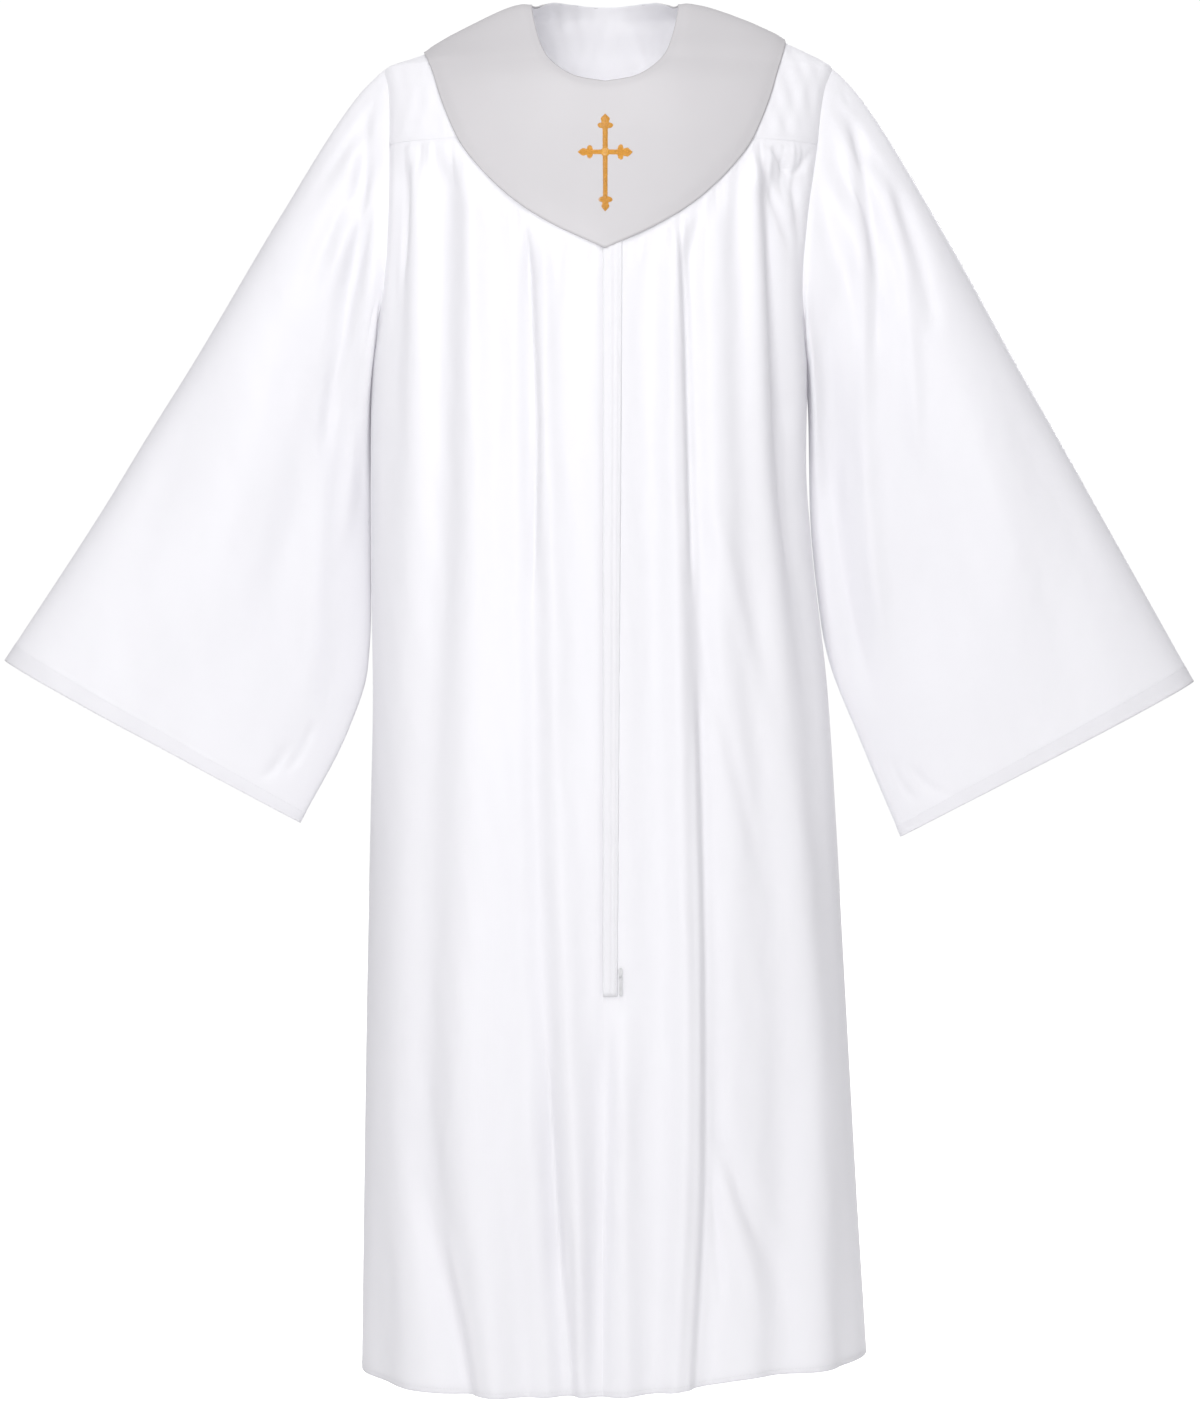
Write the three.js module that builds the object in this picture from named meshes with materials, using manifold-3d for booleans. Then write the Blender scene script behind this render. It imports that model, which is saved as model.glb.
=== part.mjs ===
// A choir robe, filled out as when it is worn, with nobody inside.
// Millimetres, +Z up. The front faces -Y and the wearer's left is +X.
// The origin is at the base of the neck, level with the inner ends of the shoulders.
// Every panel is a thin wall on one shared form, so neighbours meet flush at their seams.

import * as THREE from "three";
import Module from "manifold-3d";

// Driving dimensions
const WALL = 1.4; // cloth with its turnings pressed flat
const SEAM = 0.3; // clear width between two sewn pieces
const TIP_Z = -54; // the shoulder tip, where the armhole starts
const YOKE_Z = -130; // the seam that joins yoke and gathered body
const UNDERARM_Z = -328;
const HEM_Z = -1264;
const CENTRE_X = -2; // the front closing
const COLLAR_LIFT = 3.4; // from the form to the collar's underside
const COLLAR_WALL = 1.5;
const CROSS_WALL = 0.9;
const LAP_LIFT = WALL + SEAM;
const LAP_WALL = 1.2;
const LAP_FOOT_Z = -908;
const SLIDER_AT = { x: 13.6, z: -886.5 };

// The general figure, level by level: half widths to each side, half depths, and how square
// each half of the ring is (2 is an ellipse, more is squarer, less is more pointed).
const FORM = [
  { z: 24, left: 0, right: 0, front: 4, back: 64, frontSquare: 1.6, backSquare: 2.2 },
  { z: 18, left: 45, right: 45, front: 8, back: 68, frontSquare: 1.6, backSquare: 2.1 },
  { z: 5, left: 67, right: 66, front: 16, back: 72, frontSquare: 1.6, backSquare: 2.0 },
  { z: 0, left: 94, right: 86, front: 21, back: 73, frontSquare: 1.7, backSquare: 1.7 },
  { z: -10, left: 124, right: 110, front: 28, back: 75, frontSquare: 1.7, backSquare: 1.5 },
  { z: -25, left: 158, right: 140, front: 39, back: 79, frontSquare: 1.7, backSquare: 1.5 },
  { z: -40, left: 190, right: 166, front: 52, back: 82, frontSquare: 1.7, backSquare: 1.45 },
  { z: -47, left: 204, right: 186, front: 58, back: 84, frontSquare: 1.65, backSquare: 1.45 },
  { z: -54, left: 213, right: 205, front: 63, back: 86, frontSquare: 1.65, backSquare: 1.5 },
  { z: -62, left: 213, right: 208.5, front: 69, back: 88, frontSquare: 1.75, backSquare: 1.65 },
  { z: -75, left: 212, right: 209, front: 77, back: 91, frontSquare: 1.95, backSquare: 1.9 },
  { z: -100, left: 209.5, right: 209.5, front: 88, back: 96, frontSquare: 2.2, backSquare: 2.15 },
  { z: -130, left: 207, right: 210, front: 99, back: 101, frontSquare: 2.4, backSquare: 2.3 },
  { z: -200, left: 198, right: 212, front: 114, back: 111, frontSquare: 2.5, backSquare: 2.4 },
  { z: -300, left: 189, right: 216, front: 126, back: 120, frontSquare: 2.5, backSquare: 2.4 },
  { z: -420, left: 186, right: 217, front: 134, back: 128, frontSquare: 2.5, backSquare: 2.4 },
  { z: -500, left: 191, right: 217, front: 138, back: 133, frontSquare: 2.5, backSquare: 2.4 },
  { z: -640, left: 206, right: 215, front: 144, back: 140, frontSquare: 2.5, backSquare: 2.4 },
  { z: -750, left: 213, right: 217, front: 149, back: 146, frontSquare: 2.5, backSquare: 2.4 },
  { z: -900, left: 221, right: 220, front: 154, back: 152, frontSquare: 2.5, backSquare: 2.4 },
  { z: -1100, left: 232, right: 223, front: 160, back: 159, frontSquare: 2.5, backSquare: 2.4 },
  { z: -1264, left: 242, right: 225, front: 165, back: 165, frontSquare: 2.5, backSquare: 2.4 },
];

// The armhole: how much of the half width is left inside it at each level.
const ARMHOLE = [
  { z: TIP_Z, share: 1 },
  { z: -55, share: 0.997 },
  { z: -58, share: 0.989 },
  { z: -64, share: 0.977 },
  { z: -72, share: 0.965 },
  { z: -90, share: 0.955 },
  { z: -110, share: 0.95 },
  { z: YOKE_Z, share: 0.947 },
  { z: -160, share: 0.943 },
  { z: -195, share: 0.94 },
  { z: -230, share: 0.94 },
  { z: -262, share: 0.948 },
  { z: -290, share: 0.964 },
  { z: -311, share: 0.981 },
  { z: -323, share: 0.995 },
  { z: UNDERARM_Z, share: 1 },
];
const ARM_LEVELS = ARMHOLE.map((row) => row.z);
const YOKE_LEVELS = ARM_LEVELS.filter((z) => z >= YOKE_Z);
const SKIRT_LEVELS = [-410, -500, -600, -700, -800, -915, -1030, -1150, HEM_Z];
const BODY_LEVELS = [...ARM_LEVELS.filter((z) => z <= YOKE_Z), ...SKIRT_LEVELS];

// Neckline and collar edges, quarter by quarter: round is the share of the way from the centre
// to the shoulder line, drop is the height below the shoulder line at that x.
const NECK_FRONT = [
  { round: 0, x: 0, drop: 103 },
  { round: 0.2, x: 26, drop: 97 },
  { round: 0.42, x: 48, drop: 79 },
  { round: 0.57, x: 59, drop: 56 },
  { round: 0.74, x: 66, drop: 26 },
  { round: 1, x: 68, drop: 0 },
];
const NECK_BACK = [
  { round: 0, x: 0, drop: 8 },
  { round: 0.3, x: 25, drop: 7.8 },
  { round: 0.6, x: 46, drop: 6 },
  { round: 0.85, x: 62, drop: 3 },
  { round: 1, x: 68, drop: 0 },
];
const COLLAR_FRONT = [
  { round: 0, x: 0, drop: 260 },
  { round: 0.15, x: 45, drop: 235 },
  { round: 0.31, x: 88, drop: 187 },
  { round: 0.41, x: 112, drop: 156 },
  { round: 0.51, x: 132, drop: 122 },
  { round: 0.64, x: 148, drop: 78 },
  { round: 0.78, x: 160, drop: 32 },
  { round: 1, x: 168, drop: 0 },
];
const COLLAR_BACK = [
  { round: 0, x: 0, drop: 122 },
  { round: 0.22, x: 58, drop: 94 },
  { round: 0.42, x: 106, drop: 69 },
  { round: 0.62, x: 145, drop: 38 },
  { round: 0.8, x: 163, drop: 13 },
  { round: 1, x: 168, drop: 0 },
];

// The hem rises a little to the wearer's left.
const HEM = [
  { x: -225, z: -1262 },
  { x: -110, z: -1266 },
  { x: 0, z: -1264 },
  { x: 75, z: -1258 },
  { x: 140, z: -1250 },
  { x: 242, z: -1247 },
];

// Folds run from the gathers to the hem. A row gives one fold's place across the robe, how far
// it stands out (or in, below zero) and its reach to either side, at each of five levels.
const FOLD_LEVELS = [YOKE_Z, -400, -700, -1000, HEM_Z];
const FRONT_FOLDS = [
  { name: "outer gather, right", x: [-186, -190, -192, -196, -200],
    out: [-7, -4, -1, -3, -6], reach: [9, 16, 22, 20, 24] },
  { name: "side ridge, right", x: [-170, -174, -182, -190, -178],
    out: [6, 4, 2, 4, 7], reach: [9, 15, 20, 20, 22] },
  { name: "broad hollow, right", x: [-148, -147, -155, -163, -124],
    out: [-10, -8, -6, -11, -11], reach: [12, 17, 20, 20, 17] },
  { name: "breast ridge, right", x: [-122, -122, -124, -121, -98],
    out: [9, 7, 5, 7, 10], reach: [11, 17, 24, 24, 16] },
  { name: "inner hollow, right", x: [-97, -98, -96, -90, -72],
    out: [-5, -4, -3, -5, -8], reach: [10, 14, 18, 18, 14] },
  { name: "pleat, right", x: [-73, -66, -62, -51, -36],
    out: [-10, -7, -6, -10, -13], reach: [8, 9, 12, 12, 12] },
  { name: "pleat ridge, right", x: [-57, -52, -44, -30, -18],
    out: [6, 5, 4, 8, 10], reach: [9, 10, 14, 13, 11] },
  { name: "below the zip", starts: LAP_FOOT_Z, x: [-2, -2, -2, -2, -2],
    out: [-6, -6, -6, -7, -10], reach: [9, 9, 9, 10, 10] },
  { name: "lap ridge", starts: LAP_FOOT_Z, x: [16, 16, 16, 16, 18],
    out: [6, 6, 6, 6, 7], reach: [10, 10, 10, 12, 12] },
  { name: "middle hollow, left", x: [38, 38, 40, 42, 42],
    out: [-3, -3, -2, -3, -4], reach: [12, 14, 16, 16, 16] },
  { name: "pleat ridge, left", x: [60, 62, 68, 72, 62],
    out: [7, 6, 7, 10, 10], reach: [9, 11, 12, 12, 12] },
  { name: "pleat, left", x: [75, 80, 88, 96, 88],
    out: [-9, -7, -9, -14, -10], reach: [9, 11, 14, 19, 18] },
  { name: "breast ridge, left", x: [101, 106, 116, 134, 126],
    out: [7, 5, 4, 6, 9], reach: [11, 14, 18, 20, 18] },
  { name: "slanting hollow, left", x: [118, 124, 142, 160, 158],
    out: [-5, -4, -4, -6, -8], reach: [10, 12, 16, 18, 18] },
  { name: "side ridge, left", x: [136, 144, 170, 190, 194],
    out: [9, 8, 5, 6, 9], reach: [10, 14, 16, 18, 20] },
  { name: "outer gather, left", x: [158, 164, 190, 212, 220],
    out: [-10, -9, -3, -4, -7], reach: [11, 13, 16, 18, 20] },
];
const BACK_FOLDS = [
  { name: "outer hollow, right", x: [-178, -182, -188, -194, -196],
    out: [-8, -5, -2, -5, -8], reach: [10, 14, 20, 20, 20] },
  { name: "side ridge, right", x: [-156, -160, -164, -168, -164],
    out: [9, 7, 5, 7, 10], reach: [10, 13, 18, 18, 18] },
  { name: "flute 1", x: [-132, -136, -138, -138, -130],
    out: [-10, -9, -7, -10, -12], reach: [10, 12, 16, 18, 16] },
  { name: "flute 2", x: [-108, -110, -108, -104, -98],
    out: [9, 8, 7, 10, 12], reach: [10, 13, 17, 18, 16] },
  { name: "flute 3", x: [-82, -82, -78, -74, -68],
    out: [-10, -9, -8, -11, -13], reach: [10, 12, 15, 16, 15] },
  { name: "flute 4", x: [-56, -54, -48, -44, -38],
    out: [8, 8, 7, 9, 11], reach: [9, 12, 15, 16, 15] },
  { name: "flute 5", x: [-30, -26, -18, -14, -10],
    out: [-10, -9, -7, -10, -12], reach: [10, 12, 15, 16, 15] },
  { name: "flute 6", x: [-4, 2, 10, 16, 18],
    out: [9, 8, 7, 9, 11], reach: [9, 12, 15, 16, 14] },
  { name: "flute 7", x: [24, 28, 36, 44, 48],
    out: [-10, -9, -8, -11, -12], reach: [10, 12, 15, 16, 15] },
  { name: "flute 8", x: [50, 54, 62, 72, 78],
    out: [8, 8, 7, 9, 12], reach: [9, 12, 15, 16, 15] },
  { name: "flute 9", x: [76, 80, 90, 102, 108],
    out: [-10, -8, -7, -10, -12], reach: [10, 12, 16, 18, 16] },
  { name: "flute 10", x: [102, 106, 118, 132, 138],
    out: [9, 8, 6, 9, 11], reach: [10, 13, 17, 18, 17] },
  { name: "flute 11", x: [128, 132, 146, 162, 170],
    out: [-9, -8, -5, -8, -10], reach: [10, 12, 16, 18, 18] },
  { name: "side ridge, left", x: [152, 156, 172, 190, 200],
    out: [7, 6, 4, 6, 9], reach: [10, 12, 16, 18, 18] },
];
const FOLD_START = 44; // a fold grows to its full depth over this length below its seam
const FLAT_EDGE = 9; // no fold stands out this close to the seam or the collar
const SIDE_CALM = 16; // folds fade out over this width beside the side seams and armholes

// The sleeves in the front view: the upper and the lower edge, and how far the front and the
// back layer stand apart at each of them. x counts away from the centre.
const SLEEVE_LEFT = [
  { t: 0, upperX: 213, upperZ: -54, lowerX: 188.2, lowerZ: -328, upperDeep: 72, lowerDeep: 30 },
  { t: 0.05, upperX: 238, upperZ: -82, lowerX: 196, lowerZ: -352, upperDeep: 76, lowerDeep: 24 },
  { t: 0.25, upperX: 309, upperZ: -196, lowerX: 198, lowerZ: -455, upperDeep: 78, lowerDeep: 16 },
  { t: 0.5, upperX: 388, upperZ: -339, lowerX: 209, lowerZ: -570, upperDeep: 74, lowerDeep: 15 },
  { t: 0.75, upperX: 468, upperZ: -482, lowerX: 239, lowerZ: -676, upperDeep: 67, lowerDeep: 15 },
  { t: 1, upperX: 548.5, upperZ: -626, lowerX: 277.5, lowerZ: -770, upperDeep: 60, lowerDeep: 14 },
];
const SLEEVE_RIGHT = [
  { t: 0, upperX: 205, upperZ: -54, lowerX: 216.3, lowerZ: -328, upperDeep: 72, lowerDeep: 30 },
  { t: 0.05, upperX: 230, upperZ: -80, lowerX: 224, lowerZ: -352, upperDeep: 76, lowerDeep: 24 },
  { t: 0.25, upperX: 301, upperZ: -191, lowerX: 225, lowerZ: -452, upperDeep: 78, lowerDeep: 16 },
  { t: 0.5, upperX: 383, upperZ: -329, lowerX: 224, lowerZ: -562, upperDeep: 74, lowerDeep: 15 },
  { t: 0.75, upperX: 469, upperZ: -468, lowerX: 243, lowerZ: -668, upperDeep: 67, lowerDeep: 15 },
  { t: 1, upperX: 559.5, upperZ: -606.5, lowerX: 286, lowerZ: -757, upperDeep: 60, lowerDeep: 14 },
];
const SLEEVE_ROWS = [0, 0.03, 0.08, 0.15, 0.25, 0.37, 0.5, 0.66, 0.83, 1];

// Gathers at the sleeve head: share is the place down the sleeve's width, seen from the front.
const SLEEVE_FOLDS = [
  { name: "cap gather", share: 0.1, out: -4, reach: 0.03, ends: 0.3 },
  { name: "cap ridge", share: 0.17, out: 4, reach: 0.04, ends: 0.4 },
  { name: "main crease", share: 0.27, out: -8, reach: 0.05, ends: 0.55 },
  { name: "crease ridge", share: 0.37, out: 6, reach: 0.05, ends: 0.7 },
  { name: "second hollow", share: 0.49, out: -6, reach: 0.06, ends: 0.75 },
  { name: "soft ridge", share: 0.63, out: 4, reach: 0.07, ends: 0.9 },
  { name: "low hollow", share: 0.77, out: -4, reach: 0.07, ends: 0.9 },
];

// The cross in the front view, as half the outline of one arm: along is the distance from the
// crossing as a share of the arm's length, half is half the width there.
const CROSS_CENTRE_Z = -146;
const CROSS_ARMS = [
  { name: "up", length: 35.5, turn: 0 },
  { name: "right", length: 24.5, turn: 90 },
  { name: "down", length: 55.5, turn: 180 },
  { name: "left", length: 24.5, turn: 270 },
];
const CROSS_BAR = 2.7; // half the bar's width
const CROSS_TIP = [
  { fromEnd: 13.5, half: 2.7 },
  { fromEnd: 12.5, half: 6.6 },
  { fromEnd: 10.2, half: 7.8 },
  { fromEnd: 8.4, half: 6.2 },
  { fromEnd: 8, half: 3.6 },
  { fromEnd: 4.6, half: 4.4 },
  { fromEnd: 0, half: 0.5 },
];

// A smooth curve through two columns of a table that never overshoots its rows.
function curve(rows, from, to) {
  const sorted = [...rows].sort((a, b) => a[from] - b[from]);
  const xs = sorted.map((row) => row[from]);
  const ys = sorted.map((row) => row[to]);
  const last = xs.length - 1;
  const slopes = xs.slice(1).map((x, i) => (ys[i + 1] - ys[i]) / (x - xs[i]));
  const tangents = ys.map((_, i) => {
    if (i === 0) return slopes[0];
    if (i === last) return slopes[last - 1];
    const product = slopes[i - 1] * slopes[i];
    return product <= 0 ? 0 : (2 * product) / (slopes[i - 1] + slopes[i]);
  });
  return (x) => {
    if (x <= xs[0]) return ys[0];
    if (x >= xs[last]) return ys[last];
    let i = 0;
    while (x > xs[i + 1]) i += 1;
    const h = xs[i + 1] - xs[i];
    const t = (x - xs[i]) / h;
    const s = 1 - t;
    const start = ys[i] * (1 + 2 * t) * s * s + h * tangents[i] * t * s * s;
    const end = ys[i + 1] * (3 - 2 * t) * t * t - h * tangents[i + 1] * t * t * s;
    return start + end;
  };
}

function ease(from, to, x) {
  const t = Math.min(Math.max((x - from) / (to - from), 0), 1);
  return t * t * (3 - 2 * t);
}

const mix = THREE.MathUtils.lerp;

// The form
const half = { 1: curve(FORM, "z", "left"), "-1": curve(FORM, "z", "right") };
const deep = { 1: curve(FORM, "z", "back"), "-1": curve(FORM, "z", "front") };
const square = { 1: curve(FORM, "z", "backSquare"), "-1": curve(FORM, "z", "frontSquare") };
const armShare = curve(ARMHOLE, "z", "share");
const hemAt = curve(HEM, "x", "z");
const FRONT = -1;
const BACK = 1;

const halfAt = (x, z) => half[x < 0 ? -1 : 1](z);

// The point of the form at x and z, on the front or the back.
function formPoint(x, z, face) {
  const share = Math.min(Math.abs(x) / halfAt(x, z), 1);
  const n = square[face](z);
  return new THREE.Vector3(x, face * deep[face](z) * (1 - share ** n) ** (1 / n), z);
}

// The height of the shoulder line above x.
function shoulderZ(x) {
  let low = TIP_Z;
  let high = FORM[0].z;
  for (let i = 0; i < 40; i += 1) {
    const middle = (low + high) / 2;
    if (halfAt(x, middle) > Math.abs(x)) low = middle;
    else high = middle;
  }
  return (low + high) / 2;
}

// The form by x and the root of the drop below the shoulder line: the front above zero, the
// back below it, and smooth over the shoulder.
function overShoulder(x, root) {
  return formPoint(x, shoulderZ(x) - root * root, root < 0 ? BACK : FRONT);
}

// The form by the angle round the body, from the centre front (0) by the wearer's left (90).
function aroundBody(degrees, z) {
  const turn = THREE.MathUtils.degToRad(degrees);
  const side = Math.sin(turn) < 0 ? -1 : 1;
  return formPoint(Math.sin(turn) * half[side](z), z, Math.cos(turn) < 0 ? BACK : FRONT);
}

// Beside the shoulder line, the root of the drop there.
const RIDGE = 0.03;

// The small steps over which normals are measured.
const NEAR = { x: 0.2, root: 0.02, z: 1, degrees: 0.4, share: 0.004 };

// The outward normal of surface(a, b), measured over small steps da and db.
function outward(surface, a, b, da, db) {
  const along = surface(a + da, b).sub(surface(a - da, b));
  const across = surface(a, b + db).sub(surface(a, b - db));
  return along.cross(across).normalize();
}

const foldCurves = (folds) =>
  folds.map((fold) => {
    const rows = FOLD_LEVELS.map((z, i) => ({ z, x: fold.x[i], out: fold.out[i], reach: fold.reach[i] }));
    const column = (name) => curve(rows, "z", name);
    return { starts: fold.starts ?? 0, x: column("x"), out: column("out"), reach: column("reach") };
  });
const folds = { "-1": foldCurves(FRONT_FOLDS), 1: foldCurves(BACK_FOLDS) };

const collarDrop = { "-1": curve(COLLAR_FRONT, "x", "drop"), 1: curve(COLLAR_BACK, "x", "drop") };
const collarEdgeZ = (x, face) => shoulderZ(x) - collarDrop[face](Math.abs(x));

// Where the folds start at x: at the yoke seam, or at the collar's edge if that hangs lower.
function foldTop(x, face) {
  return Math.min(YOKE_Z, Math.abs(x) < COLLAR_FRONT.at(-1).x ? collarEdgeZ(x, face) : YOKE_Z);
}

// How far the folds move the cloth out at x and z.
function foldOut(x, z, face) {
  const top = foldTop(x, face);
  const start = 1 - ease(top - FOLD_START, top - FLAT_EDGE, z);
  const edge = halfAt(x, z) * (z > UNDERARM_Z ? armShare(z) : 1);
  const side = ease(0, SIDE_CALM, edge - Math.abs(x));
  const amount = folds[face].reduce((sum, fold) => {
    const away = (x - fold.x(z)) / fold.reach(z);
    const grown = 1 - ease(fold.starts - 2 * FOLD_START, fold.starts, z);
    return sum + grown * fold.out(z) * Math.exp(-away * away);
  }, 0);
  return amount * start * side;
}

// A closed wall on a grid of points and normals, from inner to outer along each normal.
function clothWall(grid, inner, outer, ring = false) {
  const rows = grid.length;
  const columns = grid[0].length;
  const positions = [];
  [inner, outer].forEach((lift) => {
    grid.flat().forEach(({ point, normal }) => {
      positions.push(...point.clone().addScaledVector(normal, lift).toArray());
    });
  });
  const layer = rows * columns;
  const at = (row, column, side) => side * layer + row * columns + (column % columns);
  const faces = [];
  const quad = (a, b, c, d) => faces.push(a, b, c, a, c, d);
  const steps = ring ? columns : columns - 1;
  for (let row = 0; row < rows - 1; row += 1) {
    for (let column = 0; column < steps; column += 1) {
      const corners = [[row, column], [row, column + 1], [row + 1, column + 1], [row + 1, column]];
      const [a, b, c, d] = corners.map(([i, j]) => at(i, j, 1));
      const [e, f, g, h] = corners.map(([i, j]) => at(i, j, 0));
      quad(a, b, c, d);
      quad(h, g, f, e);
    }
  }
  for (let column = 0; column < steps; column += 1) {
    quad(at(0, column, 0), at(0, column + 1, 0), at(0, column + 1, 1), at(0, column, 1));
    const end = rows - 1;
    quad(at(end, column, 1), at(end, column + 1, 1), at(end, column + 1, 0), at(end, column, 0));
  }
  for (let row = 0; row < rows - 1 && !ring; row += 1) {
    quad(at(row, 0, 1), at(row + 1, 0, 1), at(row + 1, 0, 0), at(row, 0, 0));
    const end = columns - 1;
    quad(at(row, end, 0), at(row + 1, end, 0), at(row + 1, end, 1), at(row, end, 1));
  }
  return facingOut(positions, faces);
}

// A geometry whose faces point out, whichever way round they were listed.
function facingOut(positions, faces) {
  const corner = (i) => new THREE.Vector3().fromArray(positions, 3 * faces[i]);
  let volume = 0;
  for (let i = 0; i < faces.length; i += 3) volume += corner(i).dot(corner(i + 1).cross(corner(i + 2)));
  const geometry = new THREE.BufferGeometry();
  geometry.setAttribute("position", new THREE.Float32BufferAttribute(positions, 3));
  geometry.setIndex(volume < 0 ? [...faces].reverse() : faces);
  return geometry;
}

// One of the two front yokes: from the neckline and shoulder line down to the gathers.
function yokeFront(side) {
  const columns = 16;
  const neckColumns = 6; // of them, those that start at the neckline
  const neckFan = 0.5; // how far along the seam below they spread
  const neckX = curve(NECK_FRONT, "round", "x");
  const neckDrop = curve(NECK_FRONT, "round", "drop");
  const centre = side * CENTRE_X + SEAM / 2;
  const armX = (z) => half[side](z) * armShare(z) - SEAM;
  const rootAt = (x, z) => Math.sqrt(Math.max(shoulderZ(side * x) - z, RIDGE * RIDGE));
  const tipX = armX(TIP_Z);
  const lowZ = YOKE_Z + SEAM / 2;
  const lowX = armX(lowZ);
  const lowRoot = rootAt(lowX, lowZ);
  return YOKE_LEVELS.map((level) => {
    const z = Math.max(level, lowZ);
    const edge = level === TIP_Z ? { x: tipX, root: RIDGE } : { x: armX(z), root: rootAt(armX(z), z) };
    const down = (edge.root - RIDGE) / (lowRoot - RIDGE);
    return Array.from({ length: columns + 1 }, (_, column) => {
      const round = Math.min(column / neckColumns, 1);
      const onNeck = column <= neckColumns;
      const past = (column - neckColumns) / (columns - neckColumns);
      const along = onNeck ? neckFan * round : mix(neckFan, 1, past);
      const topX = onNeck ? mix(centre, neckX(1), neckX(round) / neckX(1)) : mix(neckX(1), tipX, past);
      const topRoot = onNeck ? Math.max(Math.sqrt(neckDrop(round)), RIDGE) : RIDGE;
      const bottomX = mix(centre, lowX, along);
      const bend = along * along * (edge.x - mix(tipX, lowX, down));
      const x = mix(topX, bottomX, down) + bend;
      const root = mix(topRoot, rootAt(bottomX, lowZ), down);
      return {
        point: overShoulder(side * x, column === columns ? edge.root : root),
        normal: outward(overShoulder, side * x, root, NEAR.x, NEAR.root).multiplyScalar(-1),
      };
    });
  });
}

// The back yoke in one piece, from shoulder line and neckline to the gathers of the back.
function yokeBack() {
  const columns = 32;
  const neckShare = 0.375; // the part of the columns, in the middle, that starts at the neckline
  const neckDrop = curve(NECK_BACK, "x", "drop");
  const neckEnd = NECK_BACK.at(-1).x;
  const armX = (side, z) => half[side](z) * armShare(z) - SEAM;
  const rootAt = (x, z) => -Math.sqrt(Math.max(shoulderZ(x) - z, RIDGE * RIDGE));
  const lowZ = YOKE_Z + SEAM / 2;
  return YOKE_LEVELS.map((level) =>
    Array.from({ length: columns + 1 }, (_, column) => {
      const across = (2 * column) / columns - 1;
      const side = across < 0 ? -1 : 1;
      const along = Math.abs(across);
      const lowX = armX(side, lowZ);
      const tipX = armX(side, TIP_Z);
      const z = Math.max(level, lowZ);
      const edge = level === TIP_Z ? { x: tipX, root: -RIDGE } : { x: armX(side, z) };
      edge.root ??= rootAt(side * edge.x, z);
      const down = (edge.root + RIDGE) / (rootAt(side * lowX, lowZ) + RIDGE);
      const onNeck = along <= neckShare;
      const topX = onNeck
        ? (neckEnd * along) / neckShare
        : mix(neckEnd, tipX, (along - neckShare) / (1 - neckShare));
      const topRoot = onNeck ? Math.min(-Math.sqrt(neckDrop(topX)), -RIDGE) : -RIDGE;
      const bottomX = lowX * along;
      const bend = along * along * (edge.x - mix(tipX, lowX, down));
      const x = side * (mix(topX, bottomX, down) + bend);
      const root = along === 1 ? edge.root : mix(topRoot, rootAt(side * bottomX, lowZ), down);
      return {
        point: overShoulder(x, root),
        normal: outward(overShoulder, x, root, NEAR.x, NEAR.root).multiplyScalar(-1),
      };
    }),
  );
}

// A gathered body panel. across(z) lists the degrees round the body of its columns at a level.
function bodyPanel(face, across) {
  const surface = (degrees, z) => {
    const onForm = aroundBody(degrees, z);
    const calm = outward(aroundBody, degrees, z, NEAR.degrees, NEAR.z);
    const hem = ease(UNDERARM_Z, HEM_Z, z) * (hemAt(onForm.x) - HEM_Z);
    const folded = onForm.addScaledVector(calm, foldOut(onForm.x, z, face));
    folded.z += hem;
    return folded;
  };
  return BODY_LEVELS.map((level) => {
    const z = Math.min(level, YOKE_Z - SEAM / 2);
    return across(z).map((degrees) => ({
      point: surface(degrees, z),
      normal: outward(surface, degrees, z, NEAR.degrees, NEAR.z),
    }));
  });
}

// Degrees from the centre to the armhole edge or, below it, to the side seam.
function sideDegrees(side, face, z) {
  const width = half[side](z);
  if (z <= UNDERARM_Z) {
    const seam = (SEAM / 2 / deep[face](z)) ** (square[face](z) / 2);
    return 90 - THREE.MathUtils.radToDeg(seam);
  }
  return THREE.MathUtils.radToDeg(Math.asin(Math.min(armShare(z) - SEAM / width, 0.99998)));
}

const degreesAt = (x, z) => THREE.MathUtils.radToDeg(Math.asin(x / halfAt(x, z)));

// Even steps from one number to another, both included.
const steps = (from, to, count) => Array.from({ length: count + 1 }, (_, i) => mix(from, to, i / count));

// The columns keep their place but for the last few, which spread to the armhole or side seam.
const KEPT_DEGREES = 66;

function bodyFront(side) {
  return bodyPanel(FRONT, (z) => {
    const centre = degreesAt(CENTRE_X + (side * SEAM) / 2, z);
    const end = side * sideDegrees(side, FRONT, z);
    return [...steps(centre, side * KEPT_DEGREES, 20).slice(0, -1), ...steps(side * KEPT_DEGREES, end, 6)];
  });
}

function bodyBack() {
  return bodyPanel(BACK, (z) => {
    const [first, last] = [180 - sideDegrees(1, BACK, z), 180 + sideDegrees(-1, BACK, z)];
    const [from, to] = [180 - KEPT_DEGREES, 180 + KEPT_DEGREES];
    return [...steps(first, from, 5).slice(0, -1), ...steps(from, to, 30), ...steps(to, last, 5).slice(1)];
  });
}

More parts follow.
